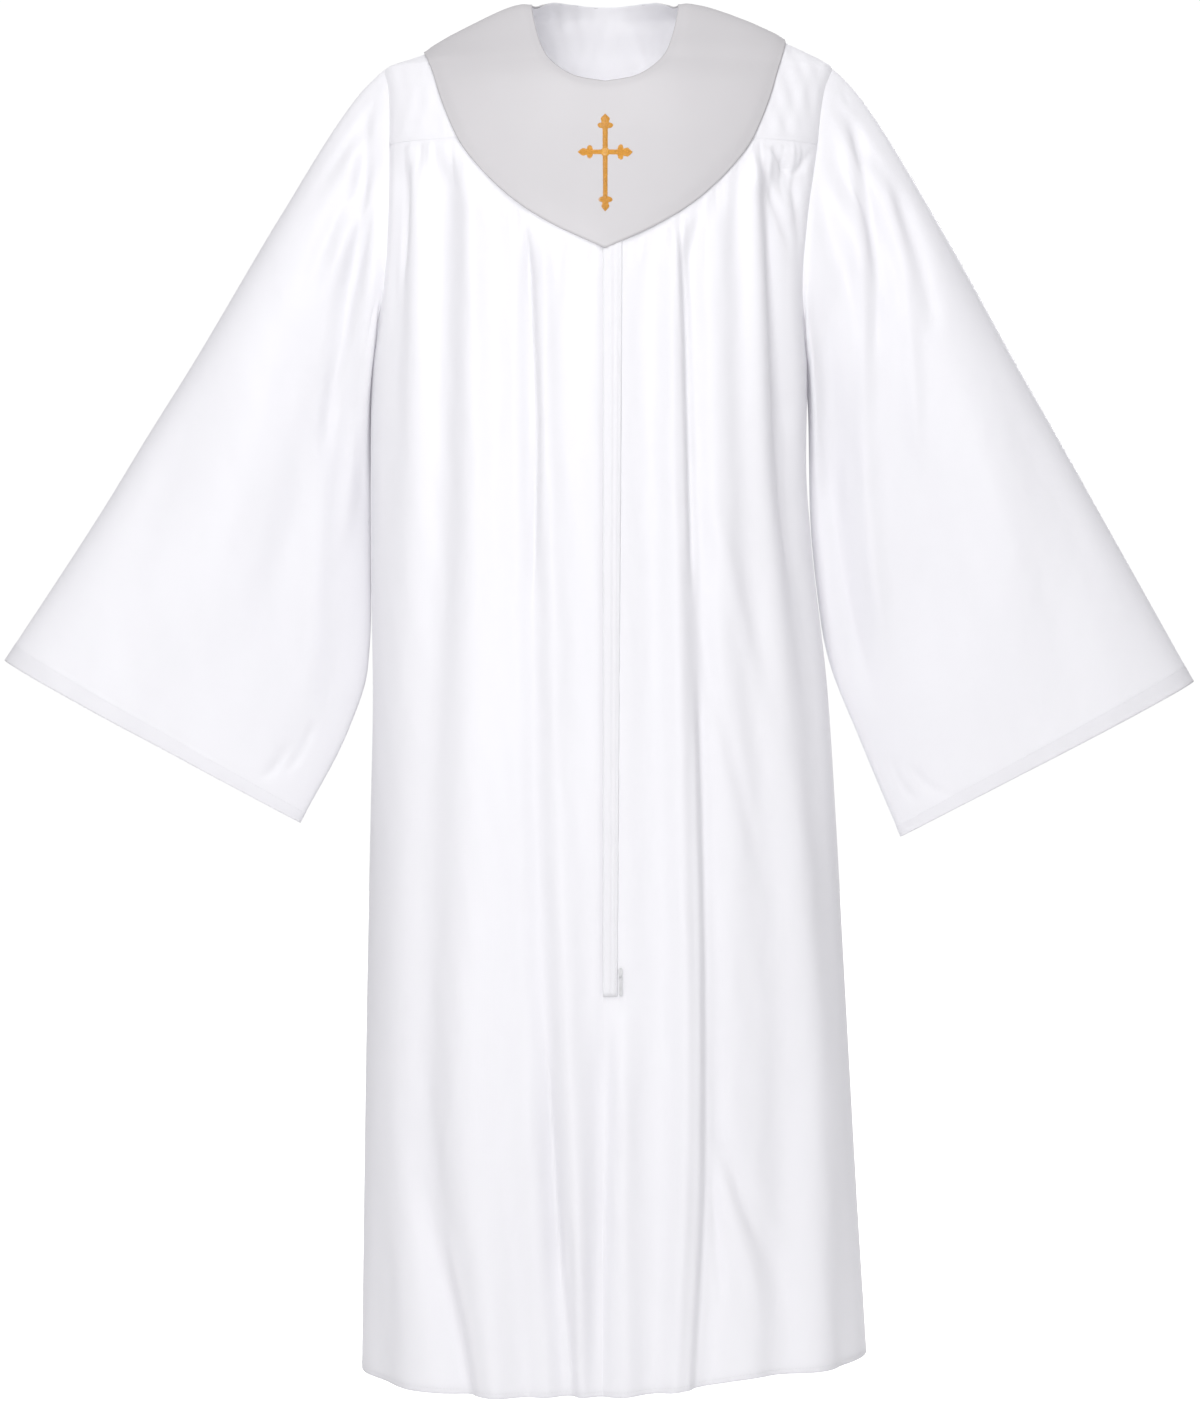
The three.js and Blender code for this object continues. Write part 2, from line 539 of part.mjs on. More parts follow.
// The sleeve's surface: s goes from the upper edge (0) over the front to the lower edge (1),
// and on from 1 to 2 over the back; t goes from the armhole (0) to the cuff (1).
function sleeveSurface(side, rows) {
  const column = (name) => curve(rows, "t", name);
  const upper = { x: column("upperX"), z: column("upperZ"), deep: column("upperDeep") };
  const lower = { x: column("lowerX"), z: column("lowerZ"), deep: column("lowerDeep") };
  return (s, t) => {
    const share = s <= 1 ? Math.abs(s) : 2 - s;
    const face = s < 0 || s > 1 ? BACK : FRONT;
    const holeZ = mix(TIP_Z, UNDERARM_Z, share);
    const hole = formPoint(half[side](holeZ) * armShare(holeZ) * side, holeZ, face);
    const near = 1 - ease(0, 0.3, t);
    const lineX = mix(upper.x(t), lower.x(t), share);
    const lineZ = mix(upper.z(t), lower.z(t), share);
    const bulge = side * hole.x - mix(upper.x(0), lower.x(0), share);
    const round = Math.sqrt(Math.max(4 * share * (1 - share), 0));
    const flat = round * mix(lower.deep(t), upper.deep(t), (1 - share) ** 1.2);
    const gather = SLEEVE_FOLDS.reduce((sum, fold) => {
      const away = (share - fold.share) / fold.reach;
      const fade = ease(0, 0.08, t) * (1 - ease(fold.ends * 0.3, fold.ends, t));
      return sum + fold.out * fade * Math.exp(-away * away);
    }, 0);
    const y = face * (mix(flat, Math.abs(hole.y), near) + gather * Math.min(round * 1.5, 1));
    return new THREE.Vector3(side * (lineX + bulge * near), y, lineZ);
  };
}

function sleeve(side, rows) {
  const surface = sleeveSurface(side, rows);
  const shares = ARM_LEVELS.map((z) => (z - TIP_Z) / (UNDERARM_Z - TIP_Z));
  const around = [...shares, ...shares.slice(1, -1).reverse().map((share) => 2 - share)];
  return SLEEVE_ROWS.map((t) =>
    around.map((s) => {
      const point = surface(s, t);
      const normal = outward(surface, s, t, NEAR.share, NEAR.share).multiplyScalar(side);
      if (t > 0) return { point, normal };
      const turn = THREE.MathUtils.radToDeg(Math.asin(Math.min(armShare(point.z), 1)));
      const degrees = s > 1 ? side * (180 - turn) : side * turn;
      const body = outward(aroundBody, degrees, point.z, NEAR.degrees, NEAR.z);
      const under = ease(0.8, 0.97, s > 1 ? 2 - s : s);
      point.addScaledVector(body, under * (2 * WALL + SEAM));
      return { point, normal: normal.lerp(body, 1 - under).normalize() };
    }),
  );
}

// The collar: one ring from the neckline to its outer edge, a point in front, round behind.
function collar() {
  const acrossSteps = 6;
  const quarter = (neck, edge, count) => {
    const table = (rows, name) => curve(rows, "round", name);
    return Array.from({ length: count }, (_, i) => {
      const round = i / count;
      const end = (rows) => ({ x: table(rows, "x")(round), root: Math.sqrt(table(rows, "drop")(round)) });
      return { inner: end(neck), outer: end(edge) };
    });
  };
  const front = quarter(NECK_FRONT, COLLAR_FRONT, 15);
  const back = quarter(NECK_BACK, COLLAR_BACK, 13);
  const shoulder = {
    inner: { x: NECK_FRONT.at(-1).x, root: 0 },
    outer: { x: COLLAR_FRONT.at(-1).x, root: 0 },
  };
  const place = (line, side, sign) => ({ line, side, sign });
  const ring = [
    ...front.map((line) => place(line, 1, 1)),
    place(shoulder, 1, 1),
    ...[...back].reverse().map((line) => place(line, 1, -1)),
    ...back.slice(1).map((line) => place(line, -1, -1)),
    place(shoulder, -1, 1),
    ...front.slice(1).reverse().map((line) => place(line, -1, 1)),
  ];
  return Array.from({ length: acrossSteps + 1 }, (_, row) =>
    ring.map(({ line, side, sign }) => {
      const x = side * mix(line.inner.x, line.outer.x, row / acrossSteps);
      const root = sign * mix(line.inner.root, line.outer.root, row / acrossSteps);
      return {
        point: overShoulder(x, root),
        normal: outward(overShoulder, x, root, 2 * NEAR.x, 2 * NEAR.root).multiplyScalar(-1),
      };
    }),
  );
}

// The lap that hides the zip: sewn at the closing, with a free edge that narrows to its foot.
function zipLap() {
  const rows = 14;
  const wide = { top: 17.5, foot: 13 };
  const folded = [0, 0.12, 0.56, 1]; // its columns; the second lies over the closing itself
  const surface = (x, z) => formPoint(x, z, FRONT).add(new THREE.Vector3(0, -foldOut(x, z, FRONT), 0));
  return Array.from({ length: rows + 1 }, (_, row) =>
    folded.map((share) => {
      const down = row / rows;
      const x = CENTRE_X + share * mix(wide.top, wide.foot, down);
      const z = mix(collarEdgeZ(x, FRONT) - 2 * SEAM, LAP_FOOT_Z, down);
      return { point: surface(x, z), normal: outward(surface, x, z, NEAR.x, NEAR.z) };
    }),
  );
}

// The outline of the cross in its own plane, as x and height.
function crossOutline() {
  const outline = [];
  CROSS_ARMS.forEach(({ length, turn }) => {
    const angle = THREE.MathUtils.degToRad(turn);
    const place = (across, along) =>
      new THREE.Vector2(
        across * Math.cos(angle) + along * Math.sin(angle),
        along * Math.cos(angle) - across * Math.sin(angle),
      );
    const side = CROSS_TIP.map(({ fromEnd, half: wide }) => [wide, length - fromEnd]);
    outline.push(place(-CROSS_BAR, CROSS_BAR));
    side.forEach(([across, along]) => outline.push(place(-across, along)));
    [...side].reverse().forEach(([across, along]) => outline.push(place(across, along)));
  });
  return outline.reverse();
}

// The embroidered cross, raised from the collar's own points.
function crossBody() {
  const outline = crossOutline();
  const faces = THREE.ShapeUtils.triangulateShape(outline, []);
  const lift = COLLAR_LIFT + COLLAR_WALL + 2 * SEAM;
  const surface = (x, z) => formPoint(x, z, FRONT);
  const positions = [];
  [lift, lift + CROSS_WALL].forEach((height) => {
    outline.forEach((spot) => {
      const z = CROSS_CENTRE_Z + spot.y;
      const normal = outward(surface, spot.x, z, NEAR.x, NEAR.z);
      positions.push(...surface(spot.x, z).addScaledVector(normal, height).toArray());
    });
  });
  const count = outline.length;
  const list = [];
  faces.forEach(([a, b, c]) => list.push(a, b, c, c + count, b + count, a + count));
  outline.forEach((_, i) => {
    const next = (i + 1) % count;
    list.push(next, i, i + count, next, i + count, next + count);
  });
  return facingOut(positions, list);
}

// The zip's slider and pull tab, in their own frame: x across, z up, out of the cloth is -y.
const SLIDER = { width: 4.2, length: 8.5, plate: 1.5 };
const EYE = { hole: 1.9, wall: 0.55, width: 1.3 }; // the bridge that the tab hangs in
const TAB = { wide: 3.6, neck: 3.5, length: 18, thick: 1, slot: 3.1, slotWidth: 1.9, bar: 0.9 };

// A drawn shape, extruded, then turned so that its depth runs along the given axis.
function extruded(shape, depth, axis) {
  const geometry = new THREE.ExtrudeGeometry(shape, { depth, bevelEnabled: false, curveSegments: 8 });
  geometry.translate(0, 0, -depth / 2);
  if (axis === "y") geometry.rotateX(Math.PI / 2);
  if (axis === "x") geometry.rotateX(Math.PI / 2).rotateZ(Math.PI / 2);
  return geometry;
}

function rectangle(width, height, centreX = 0, centreY = 0) {
  const [x, y] = [width / 2, height / 2];
  const corners = [[-x, -y], [x, -y], [x, y], [-x, y]];
  return corners.map(([a, b]) => new THREE.Vector2(a + centreX, b + centreY));
}

const wasm = await Module();
wasm.setup();

// A geometry as a manifold body, with the corners that coincide made one.
function solid(geometry) {
  const seen = new Map();
  const vertices = [];
  const position = geometry.getAttribute("position");
  const triangles = [...Array(position.count).keys()].map((i) => {
    const spot = [position.getX(i), position.getY(i), position.getZ(i)];
    const key = spot.map((value) => value.toFixed(4)).join(" ");
    if (!seen.has(key)) {
      seen.set(key, vertices.length / 3);
      vertices.push(...spot);
    }
    return seen.get(key);
  });
  const mesh = new wasm.Mesh({
    numProp: 3,
    vertProperties: new Float32Array(vertices),
    triVerts: new Uint32Array(triangles),
  });
  return new wasm.Manifold(mesh);
}

function fromSolid(body) {
  const mesh = body.getMesh();
  const geometry = new THREE.BufferGeometry();
  geometry.setAttribute("position", new THREE.Float32BufferAttribute([...mesh.vertProperties], 3));
  geometry.setIndex([...mesh.triVerts]);
  return geometry;
}

function sliderBody() {
  const { width, length, plate } = SLIDER;
  const outline = new THREE.Shape();
  outline.moveTo(-width * 0.32, -length / 2);
  outline.lineTo(width * 0.32, -length / 2);
  outline.quadraticCurveTo(width / 2, -length / 4, width / 2, length * 0.1);
  outline.quadraticCurveTo(width / 2, length / 2, 0, length / 2);
  outline.quadraticCurveTo(-width / 2, length / 2, -width / 2, length * 0.1);
  outline.quadraticCurveTo(-width / 2, -length / 4, -width * 0.32, -length / 2);
  const base = extruded(outline, plate, "y").translate(0, -plate / 2, 0);
  const arch = new THREE.Shape(rectangle(EYE.hole + EYE.wall + 0.2, EYE.hole + 2 * EYE.wall));
  arch.holes.push(new THREE.Path(rectangle(EYE.hole, EYE.hole, -0.17, 0)));
  const bridge = new THREE.ExtrudeGeometry(arch, { depth: EYE.width, bevelEnabled: false });
  bridge.translate(0, 0, -EYE.width / 2).rotateY(Math.PI / 2).rotateX(Math.PI / 2);
  bridge.translate(0, hingeOut(), hingeUp());
  return fromSolid(solid(base).add(solid(bridge)));
}

const hingeOut = () => -(SLIDER.plate + EYE.hole / 2);
const hingeUp = () => -SLIDER.length / 2 + EYE.hole;

function tabBody() {
  const { wide, neck, length, thick, slot, slotWidth, bar } = TAB;
  const top = bar / 2;
  const outline = new THREE.Shape();
  outline.moveTo(-neck / 2, top);
  outline.lineTo(neck / 2, top);
  outline.lineTo(neck / 2, -slot - bar);
  outline.lineTo(neck * 0.3, -slot - 2.5 * bar);
  outline.lineTo(wide / 2, -length + wide / 2);
  outline.quadraticCurveTo(wide / 2, -length, 0, -length);
  outline.quadraticCurveTo(-wide / 2, -length, -wide / 2, -length + wide / 2);
  outline.lineTo(-neck * 0.3, -slot - 2.5 * bar);
  outline.lineTo(-neck / 2, -slot - bar);
  outline.closePath();
  outline.holes.push(new THREE.Path(rectangle(slotWidth, slot, 0, -bar / 2 - slot / 2)));
  return extruded(outline, thick, "y");
}

// Colours
const WHITE = { color: 0xf4f4f8, roughness: 0.55, metalness: 0 };
const SILVER = { color: 0xd6d5d9, roughness: 0.5, metalness: 0 };
const GOLD = { color: 0xe59a33, roughness: 0.45, metalness: 0 };
const METAL = { color: 0xb9b9bd, roughness: 0.35, metalness: 1 };

const group = new THREE.Group();

function add(name, geometry, look) {
  const mesh = new THREE.Mesh(geometry, new THREE.MeshStandardMaterial(look));
  mesh.name = name;
  group.add(mesh);
  return mesh;
}

add("yoke_front_left", clothWall(yokeFront(1), 0, WALL), WHITE);
add("yoke_front_right", clothWall(yokeFront(-1), 0, WALL), WHITE);
add("yoke_back", clothWall(yokeBack(), 0, WALL), WHITE);
add("front_left", clothWall(bodyFront(1), 0, WALL), WHITE);
add("front_right", clothWall(bodyFront(-1), 0, WALL), WHITE);
add("back", clothWall(bodyBack(), 0, WALL), WHITE);
add("sleeve_left", clothWall(sleeve(1, SLEEVE_LEFT), 0, WALL, true), WHITE);
add("sleeve_right", clothWall(sleeve(-1, SLEEVE_RIGHT), 0, WALL, true), WHITE);
add("collar", clothWall(collar(), COLLAR_LIFT, COLLAR_LIFT + COLLAR_WALL, true), SILVER);
add("cross", crossBody(), GOLD);
add("zip_lap", clothWall(zipLap(), LAP_LIFT, LAP_LIFT + LAP_WALL), WHITE);

const cloth = formPoint(SLIDER_AT.x, SLIDER_AT.z, FRONT);
const lean = Math.atan2(deep[FRONT](SLIDER_AT.z) - deep[FRONT](SLIDER_AT.z + 10), 10);
const zip = new THREE.Group();
zip.position.set(cloth.x, cloth.y - WALL - SEAM - 0.2, cloth.z);
zip.rotation.x = -lean;
const slider = add("zip_slider", sliderBody(), METAL);
const tab = add("zip_pull", tabBody(), METAL);
tab.position.set(0, hingeOut(), hingeUp());
zip.add(slider, tab);
group.add(zip);

export default group;
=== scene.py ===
"""The looks of a choir robe, filled out as when worn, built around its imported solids.

The tables are in millimetres, as in the solids' own source. Meshes are in metres, +Z up, and
the front faces -Y. Left and right are the wearer's: left is +X.
"""
import math

import bpy
import numpy as np
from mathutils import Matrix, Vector


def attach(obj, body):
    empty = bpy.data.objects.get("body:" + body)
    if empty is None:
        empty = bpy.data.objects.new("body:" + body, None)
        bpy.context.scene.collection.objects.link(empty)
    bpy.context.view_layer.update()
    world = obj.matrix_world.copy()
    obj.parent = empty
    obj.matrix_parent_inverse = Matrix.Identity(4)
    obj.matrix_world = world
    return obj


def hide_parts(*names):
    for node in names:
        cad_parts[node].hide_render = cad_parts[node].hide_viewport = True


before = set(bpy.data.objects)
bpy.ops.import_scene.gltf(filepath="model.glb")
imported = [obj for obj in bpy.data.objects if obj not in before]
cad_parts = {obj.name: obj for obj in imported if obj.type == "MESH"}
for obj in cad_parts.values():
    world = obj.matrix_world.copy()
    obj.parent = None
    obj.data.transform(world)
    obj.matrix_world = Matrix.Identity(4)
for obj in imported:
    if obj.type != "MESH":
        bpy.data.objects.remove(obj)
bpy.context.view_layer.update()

MM = 0.001
FRONT = -1
BACK = 1
SIDES = {1: "left", -1: "right"}


def table(names, rows):
    """A table's columns by name."""
    return dict(zip(names.split(), np.array(rows, float).T))


# Driving dimensions
WALL = 1.4  # the cloth's outer side lies this far out from the form
TIP_Z = -54  # shoulder tip
YOKE_Z = -130
UNDERARM_Z = -328
HEM_Z = -1264
CENTRE_X = -2  # the front closing
COLLAR_TOP = 4.9  # the collar's outer side, from the form
COLLAR_THICK = 1.2
LAP_TOP = 2.5
LAP_THICK = 0.6
LAP_HEAD_Z = -232
LAP_FOOT_Z = -908
LAP_WIDE = {"top": 17.5, "foot": 13}
HEM_TURNED = 6.5
HEM_STITCH = 4.4  # the stitches' height above the hem
CUFF_TURNED = 19.5
CUFF_STITCH = 18
LAP_STITCH = 0.86  # the stitches' share of the lap's width
STITCH_PITCH = 3.1
SEAM_DIP = 1.1
SEAM_REACH = 3.2
SLEEVE_LENGTH = 690
NECK_SHARE = 0.375  # the neck's part of a yoke's upper edge
GATHERED = 90  # finer rows this far below the yoke
TURNING = 24  # and this far above the hem or cuff

FORM = table("z left right front back front_square back_square", [
    (24, 0, 0, 4, 64, 1.6, 2.2),
    (18, 45, 45, 8, 68, 1.6, 2.1),
    (5, 67, 66, 16, 72, 1.6, 2.0),
    (0, 94, 86, 21, 73, 1.7, 1.7),
    (-10, 124, 110, 28, 75, 1.7, 1.5),
    (-25, 158, 140, 39, 79, 1.7, 1.5),
    (-40, 190, 166, 52, 82, 1.7, 1.45),
    (-47, 204, 186, 58, 84, 1.65, 1.45),
    (-54, 213, 205, 63, 86, 1.65, 1.5),
    (-62, 213, 208.5, 69, 88, 1.75, 1.65),
    (-75, 212, 209, 77, 91, 1.95, 1.9),
    (-100, 209.5, 209.5, 88, 96, 2.2, 2.15),
    (-130, 207, 210, 99, 101, 2.4, 2.3),
    (-200, 198, 212, 114, 111, 2.5, 2.4),
    (-300, 189, 216, 126, 120, 2.5, 2.4),
    (-420, 186, 217, 134, 128, 2.5, 2.4),
    (-500, 191, 217, 138, 133, 2.5, 2.4),
    (-640, 206, 215, 144, 140, 2.5, 2.4),
    (-750, 213, 217, 149, 146, 2.5, 2.4),
    (-900, 221, 220, 154, 152, 2.5, 2.4),
    (-1100, 232, 223, 160, 159, 2.5, 2.4),
    (-1264, 242, 225, 165, 165, 2.5, 2.4),
])
ARMHOLE = table("z share", [
    (-54, 1), (-55, 0.997), (-58, 0.989), (-64, 0.977), (-72, 0.965), (-90, 0.955), (-110, 0.95),
    (-130, 0.947), (-160, 0.943), (-195, 0.94), (-230, 0.94), (-262, 0.948), (-290, 0.964),
    (-311, 0.981), (-323, 0.995), (-328, 1),
])
NECK_FRONT = table("round x drop", [
    (0, 0, 103), (0.2, 26, 97), (0.42, 48, 79), (0.57, 59, 56), (0.74, 66, 26), (1, 68, 0)])
COLLAR_FRONT = table("round x drop", [
    (0, 0, 260), (0.15, 45, 235), (0.31, 88, 187), (0.41, 112, 156), (0.51, 132, 122),
    (0.64, 148, 78), (0.78, 160, 32), (1, 168, 0)])
COLLAR_BACK = table("round x drop", [
    (0, 0, 122), (0.22, 58, 94), (0.42, 106, 69), (0.62, 145, 38), (0.8, 163, 13), (1, 168, 0)])

# The collar's two edges as cut: place round a quarter, across, and height in front and at the back.
NECK_EDGE = {
    FRONT: table("round x z", [(0, 0, -79), (0.2, 26, -74), (0.42, 47, -60), (0.57, 57, -45),
                               (0.74, 64, -21), (0.88, 67, -4), (1, 68, 5)]),
    BACK: table("round x z", [(0, 0, 16), (0.3, 25, 15.6), (0.6, 46, 13.4), (0.75, 56, 9.2),
                              (0.88, 63.5, 5.9), (1, 68, 5)]),
}
COLLAR_EDGE = {
    FRONT: table("round x z", [(0, 0, -236), (0.07, 22, -226), (0.15, 45, -215), (0.23, 67, -202),
                               (0.31, 88, -186), (0.41, 112, -162), (0.51, 132, -135), (0.64, 148, -98),
                               (0.78, 160, -59), (0.9, 166, -39), (1, 168, -29.5)]),
    BACK: table("round x z", [(0, 0, -98), (0.05, 13, -97.6), (0.12, 32, -95), (0.22, 58, -89),
                              (0.42, 106, -73), (0.62, 145, -55), (0.8, 163, -39), (1, 168, -29.5)]),
}
HEM = table("x z", [(-225, -1262), (-110, -1266), (0, -1264), (75, -1258), (140, -1250), (242, -1247)])

# Folds: place across, how far out and reach to either side, at each of the five levels.
FOLD_LEVELS = (YOKE_Z, -400, -700, -1000, HEM_Z)
FOLDS = {}
FOLDS[FRONT] = [
    ("outer gather, right", (-186, -190, -192, -196, -200), (-7, -4, -1, -3, -6), (9, 16, 22, 20, 24)),
    ("side ridge, right", (-170, -174, -182, -190, -178), (6, 4, 2, 4, 7), (9, 15, 20, 20, 22)),
    ("broad hollow, right", (-149, -150, -158, -166, -126), (-10, -9, -7, -11, -11),
     (15, 20, 21, 20, 17)),
    ("breast ridge, right", (-121, -121, -124, -121, -98), (6, 5, 4, 6, 8), (9, 15, 24, 24, 16)),
    ("inner hollow, right", (-97, -98, -96, -90, -72), (-2, -2, -2, -4, -7), (10, 14, 18, 18, 14)),
    ("pleat, right", (-73, -66, -62, -51, -36), (-10, -7, -6, -10, -13), (8, 9, 12, 12, 12)),
    ("pleat ridge, right", (-57, -52, -44, -30, -18), (6, 5, 4, 8, 10), (9, 10, 14, 13, 11)),
    ("below the zip", (-2, -2, -2, -3, -13), (-6, -6, -6, -7, -10), (9, 9, 9, 11, 12)),
    ("lap ridge", (16, 16, 16, 16, 18), (6, 6, 6, 6, 7), (10, 10, 10, 12, 12)),
    ("middle hollow, left", (38, 38, 40, 42, 42), (-3, -3, -2, -3, -4), (12, 14, 16, 16, 16)),
    ("pleat ridge, left", (60, 62, 68, 72, 62), (7, 6, 7, 10, 10), (9, 11, 12, 12, 12)),
    ("pleat, left", (75, 80, 90, 98, 90), (-9, -7, -7, -8, -7), (9, 11, 13, 15, 15)),
    ("breast ridge, left", (101, 106, 116, 134, 130), (4, 3, 2, 0, 4), (13, 16, 18, 20, 18)),
    ("slanting hollow, left", (116, 120, 142, 160, 158), (-2, -2, -4, -6, -8), (10, 12, 16, 18, 18)),
    ("side ridge, left", (133, 141, 168, 190, 194), (9, 8, 5, 6, 9), (11, 13, 16, 18, 20)),
    ("outer gather, left", (164, 169, 191, 212, 220), (-12, -11, -4, -4, -7), (16, 19, 17, 18, 20)),
]
FOLDS[BACK] = [
    ("outer hollow, right", (-178, -182, -188, -194, -196), (-8, -5, -2, -5, -8), (10, 14, 20, 20, 20)),
    ("side ridge, right", (-156, -160, -164, -168, -164), (9, 7, 5, 7, 10), (10, 13, 18, 18, 18)),
    ("flute 1", (-132, -136, -138, -138, -130), (-10, -9, -7, -10, -12), (10, 12, 16, 18, 16)),
    ("flute 2", (-108, -110, -108, -104, -98), (9, 8, 7, 10, 12), (10, 13, 17, 18, 16)),
    ("flute 3", (-82, -82, -78, -74, -68), (-10, -9, -8, -11, -13), (10, 12, 15, 16, 15)),
    ("flute 4", (-56, -54, -48, -44, -38), (8, 8, 7, 9, 11), (9, 12, 15, 16, 15)),
    ("flute 5", (-30, -26, -18, -14, -10), (-10, -9, -7, -10, -12), (10, 12, 15, 16, 15)),
    ("flute 6", (-4, 2, 10, 16, 18), (9, 8, 7, 9, 11), (9, 12, 15, 16, 14)),
    ("flute 7", (24, 28, 36, 44, 48), (-10, -9, -8, -11, -12), (10, 12, 15, 16, 15)),
    ("flute 8", (50, 54, 62, 72, 78), (8, 8, 7, 9, 12), (9, 12, 15, 16, 15)),
    ("flute 9", (76, 80, 90, 102, 108), (-10, -8, -7, -10, -12), (10, 12, 16, 18, 16)),
    ("flute 10", (102, 106, 118, 132, 138), (9, 8, 6, 9, 11), (10, 13, 17, 18, 17)),
    ("flute 11", (128, 132, 146, 162, 170), (-9, -8, -5, -8, -10), (10, 12, 16, 18, 18)),
    ("side ridge, left", (152, 156, 172, 190, 200), (7, 6, 4, 6, 9), (10, 12, 16, 18, 18)),
]
BELOW_ZIP = ("below the zip", "lap ridge")
FOLD_START = 44
FLAT_EDGE = 9  # no fold this near the upper edge
SIDE_CALM = 16

# Creases on the body: the path's points as (x, z), how far out,
# reach to either side, and the length over which each end fades.
CREASES = {}
CREASES[FRONT] = [
    ("pleat's fall, left", [(104, -560), (118, -760), (130, -980), (128, -1120), (118, -1262)],
     -5.5, 27, 200),
    ("pleat's edge, left", [(80, -640), (83, -760), (85, -900), (85, -1080), (77, -1262)],
     2.6, 6, 120),
    ("drag ridge, left", [(88, -1040), (108, -1100), (128, -1160), (148, -1225)], 3.0, 9, 60),
    ("drag hollow, left", [(104, -1030), (126, -1090), (148, -1150), (166, -1210)], -3.6, 10, 70),
    ("hem line, right", [(-34, -1090), (-31, -1150), (-31, -1210), (-31, -1262)], -2.6, 3.4, 50),
    ("hem hollow, right", [(-52, -985), (-50, -1060), (-44, -1130), (-42, -1190)], -3.2, 7, 60),
    ("pleat line, right", [(-74, -192), (-66, -300), (-62, -400), (-65, -560)], -3.2, 2.6, 60),
    ("pleat lip, right", [(-69, -192), (-60, -300), (-56, -400), (-58, -520)], 1.8, 3.4, 60),
    ("lower pleat, right", [(-56, -930), (-49, -1010), (-42, -1120), (-28, -1262)], -3.4, 3.2, 70),
    ("pleat line, left", [(66, -192), (72, -300), (75, -420), (79, -560)], -3.4, 2.6, 60),
    ("pleat lip, left", [(61, -192), (67, -300), (70, -420), (73, -540)], 1.8, 3.4, 60),
    ("long edge, left", [(84, -600), (88, -760), (90, -900), (90, -1060), (80, -1262)], -3.0, 3.6, 90),
    ("long lip, left", [(78, -600), (82, -760), (84, -900), (83, -1060), (74, -1262)], 2.0, 4.2, 90),
    ("drag line 1, left", [(92, -1015), (110, -1060), (126, -1110), (152, -1172)], -2.6, 5.5, 50),
    ("drag line 2, left", [(96, -1050), (99, -1100), (103, -1150), (108, -1200)], -2.0, 4.0, 40),
    ("breast drag, left", [(84, -430), (112, -530), (140, -640), (166, -760)], 2.2, 9, 90),
    ("breast drag 2, left", [(78, -540), (100, -640), (124, -730), (150, -840)], -1.8, 7, 80),
    ("V pucker, inner", [(146, -131), (160, -146), (172, -164)], -3.6, 4, 9),
    ("V pucker, outer", [(195, -131), (185, -146), (175, -164)], -3.0, 4, 9),
    ("below the V", [(173, -152), (176, -190), (182, -250), (187, -310)], -3.2, 4.5, 36),
    ("beside the ridge, left", [(146, -160), (152, -260), (160, -400), (176, -560)], -2.6, 5, 80),
    ("shoulder drag, left", [(140, -140), (150, -170), (163, -205), (172, -240)], -2.6, 4.5, 26),
    ("gather 1, right", [(-200, -136), (-199, -200), (-196, -280)], -1.8, 3.2, 40),
    ("gather 2, right", [(-186, -136), (-188, -190), (-190, -300)], 1.8, 3.4, 44),
    ("gather 3, right", [(-178, -136), (-181, -200), (-186, -270)], -2.0, 3.0, 40),
    ("low hollow, right", [(-172, -1060), (-160, -1130), (-140, -1200), (-126, -1262)], -3.0, 8, 60),
    ("low ridge, right", [(-150, -1090), (-137, -1150), (-122, -1210), (-114, -1262)], 2.4, 6, 60),
    ("below the lap", [(6, -930), (3, -1000), (0, -1100), (-2, -1262)], -2.2, 4, 40),
    ("low fill, left", [(206, -520), (210, -700), (214, -900), (219, -1100), (226, -1262)], 4, 17, 160),
    ("fill by the armhole, left", [(166, -150), (168, -220), (174, -310), (184, -400), (194, -480)],
     9.5, 14, 50),
    ("ridge's flank, left", [(144, -158), (148, -205), (153, -265), (161, -335), (171, -410)],
     -5, 9, 36),
]
CREASES[BACK] = [
    ("gather 1", [(-160, -138), (-163, -190), (-166, -280)], -2.0, 3.2, 40),
    ("gather 2", [(-118, -138), (-121, -200), (-124, -310)], 1.8, 3.4, 44),
    ("gather 3", [(-68, -138), (-68, -200), (-64, -300)], -2.0, 3.0, 40),
    ("gather 4", [(-14, -138), (-12, -210), (-8, -320)], -1.8, 3.2, 44),
    ("gather 5", [(40, -138), (43, -200), (48, -290)], 1.8, 3.2, 40),
    ("gather 6", [(90, -138), (94, -190), (100, -300)], -2.0, 3.4, 40),
    ("gather 7", [(142, -138), (146, -200), (152, -280)], 1.8, 3.0, 40),
    ("drag line 1", [(-90, -880), (-112, -960), (-130, -1040), (-142, -1110)], -2.6, 6, 60),
    ("drag line 2", [(84, -960), (104, -1030), (124, -1110), (140, -1180)], -2.6, 6, 60),
    ("seat drag", [(-20, -520), (10, -600), (34, -690), (50, -780)], 2.0, 8, 80),
]

# The sleeves in the front view: upper and lower edge and the depth between their layers.
SLEEVE_COLUMNS = "t upper_x upper_z lower_x lower_z upper_deep lower_deep"
SLEEVES = {
    1: table(SLEEVE_COLUMNS, [
        (0, 213, -54, 188.2, -328, 72, 30), (0.05, 238, -82, 191.5, -352, 76, 24),
        (0.25, 309, -196, 192.5, -455, 78, 16), (0.5, 388, -339, 203, -570, 74, 15),
        (0.58, 414, -385, 210, -604, 72, 15), (0.75, 468, -482, 238, -676, 67, 15),
        (1, 548.5, -626, 277.5, -770, 60, 14)]),
    -1: table(SLEEVE_COLUMNS, [
        (0, 205, -54, 216.3, -328, 72, 30), (0.05, 230, -80, 220, -352, 76, 24),
        (0.25, 301, -191, 220.5, -452, 78, 16), (0.5, 383, -329, 220, -562, 74, 15),
        (0.62, 425, -396, 223, -613, 71, 15), (0.75, 469, -468, 240, -668, 67, 15),
        (1, 559.5, -606.5, 286, -757, 60, 14)]),
}
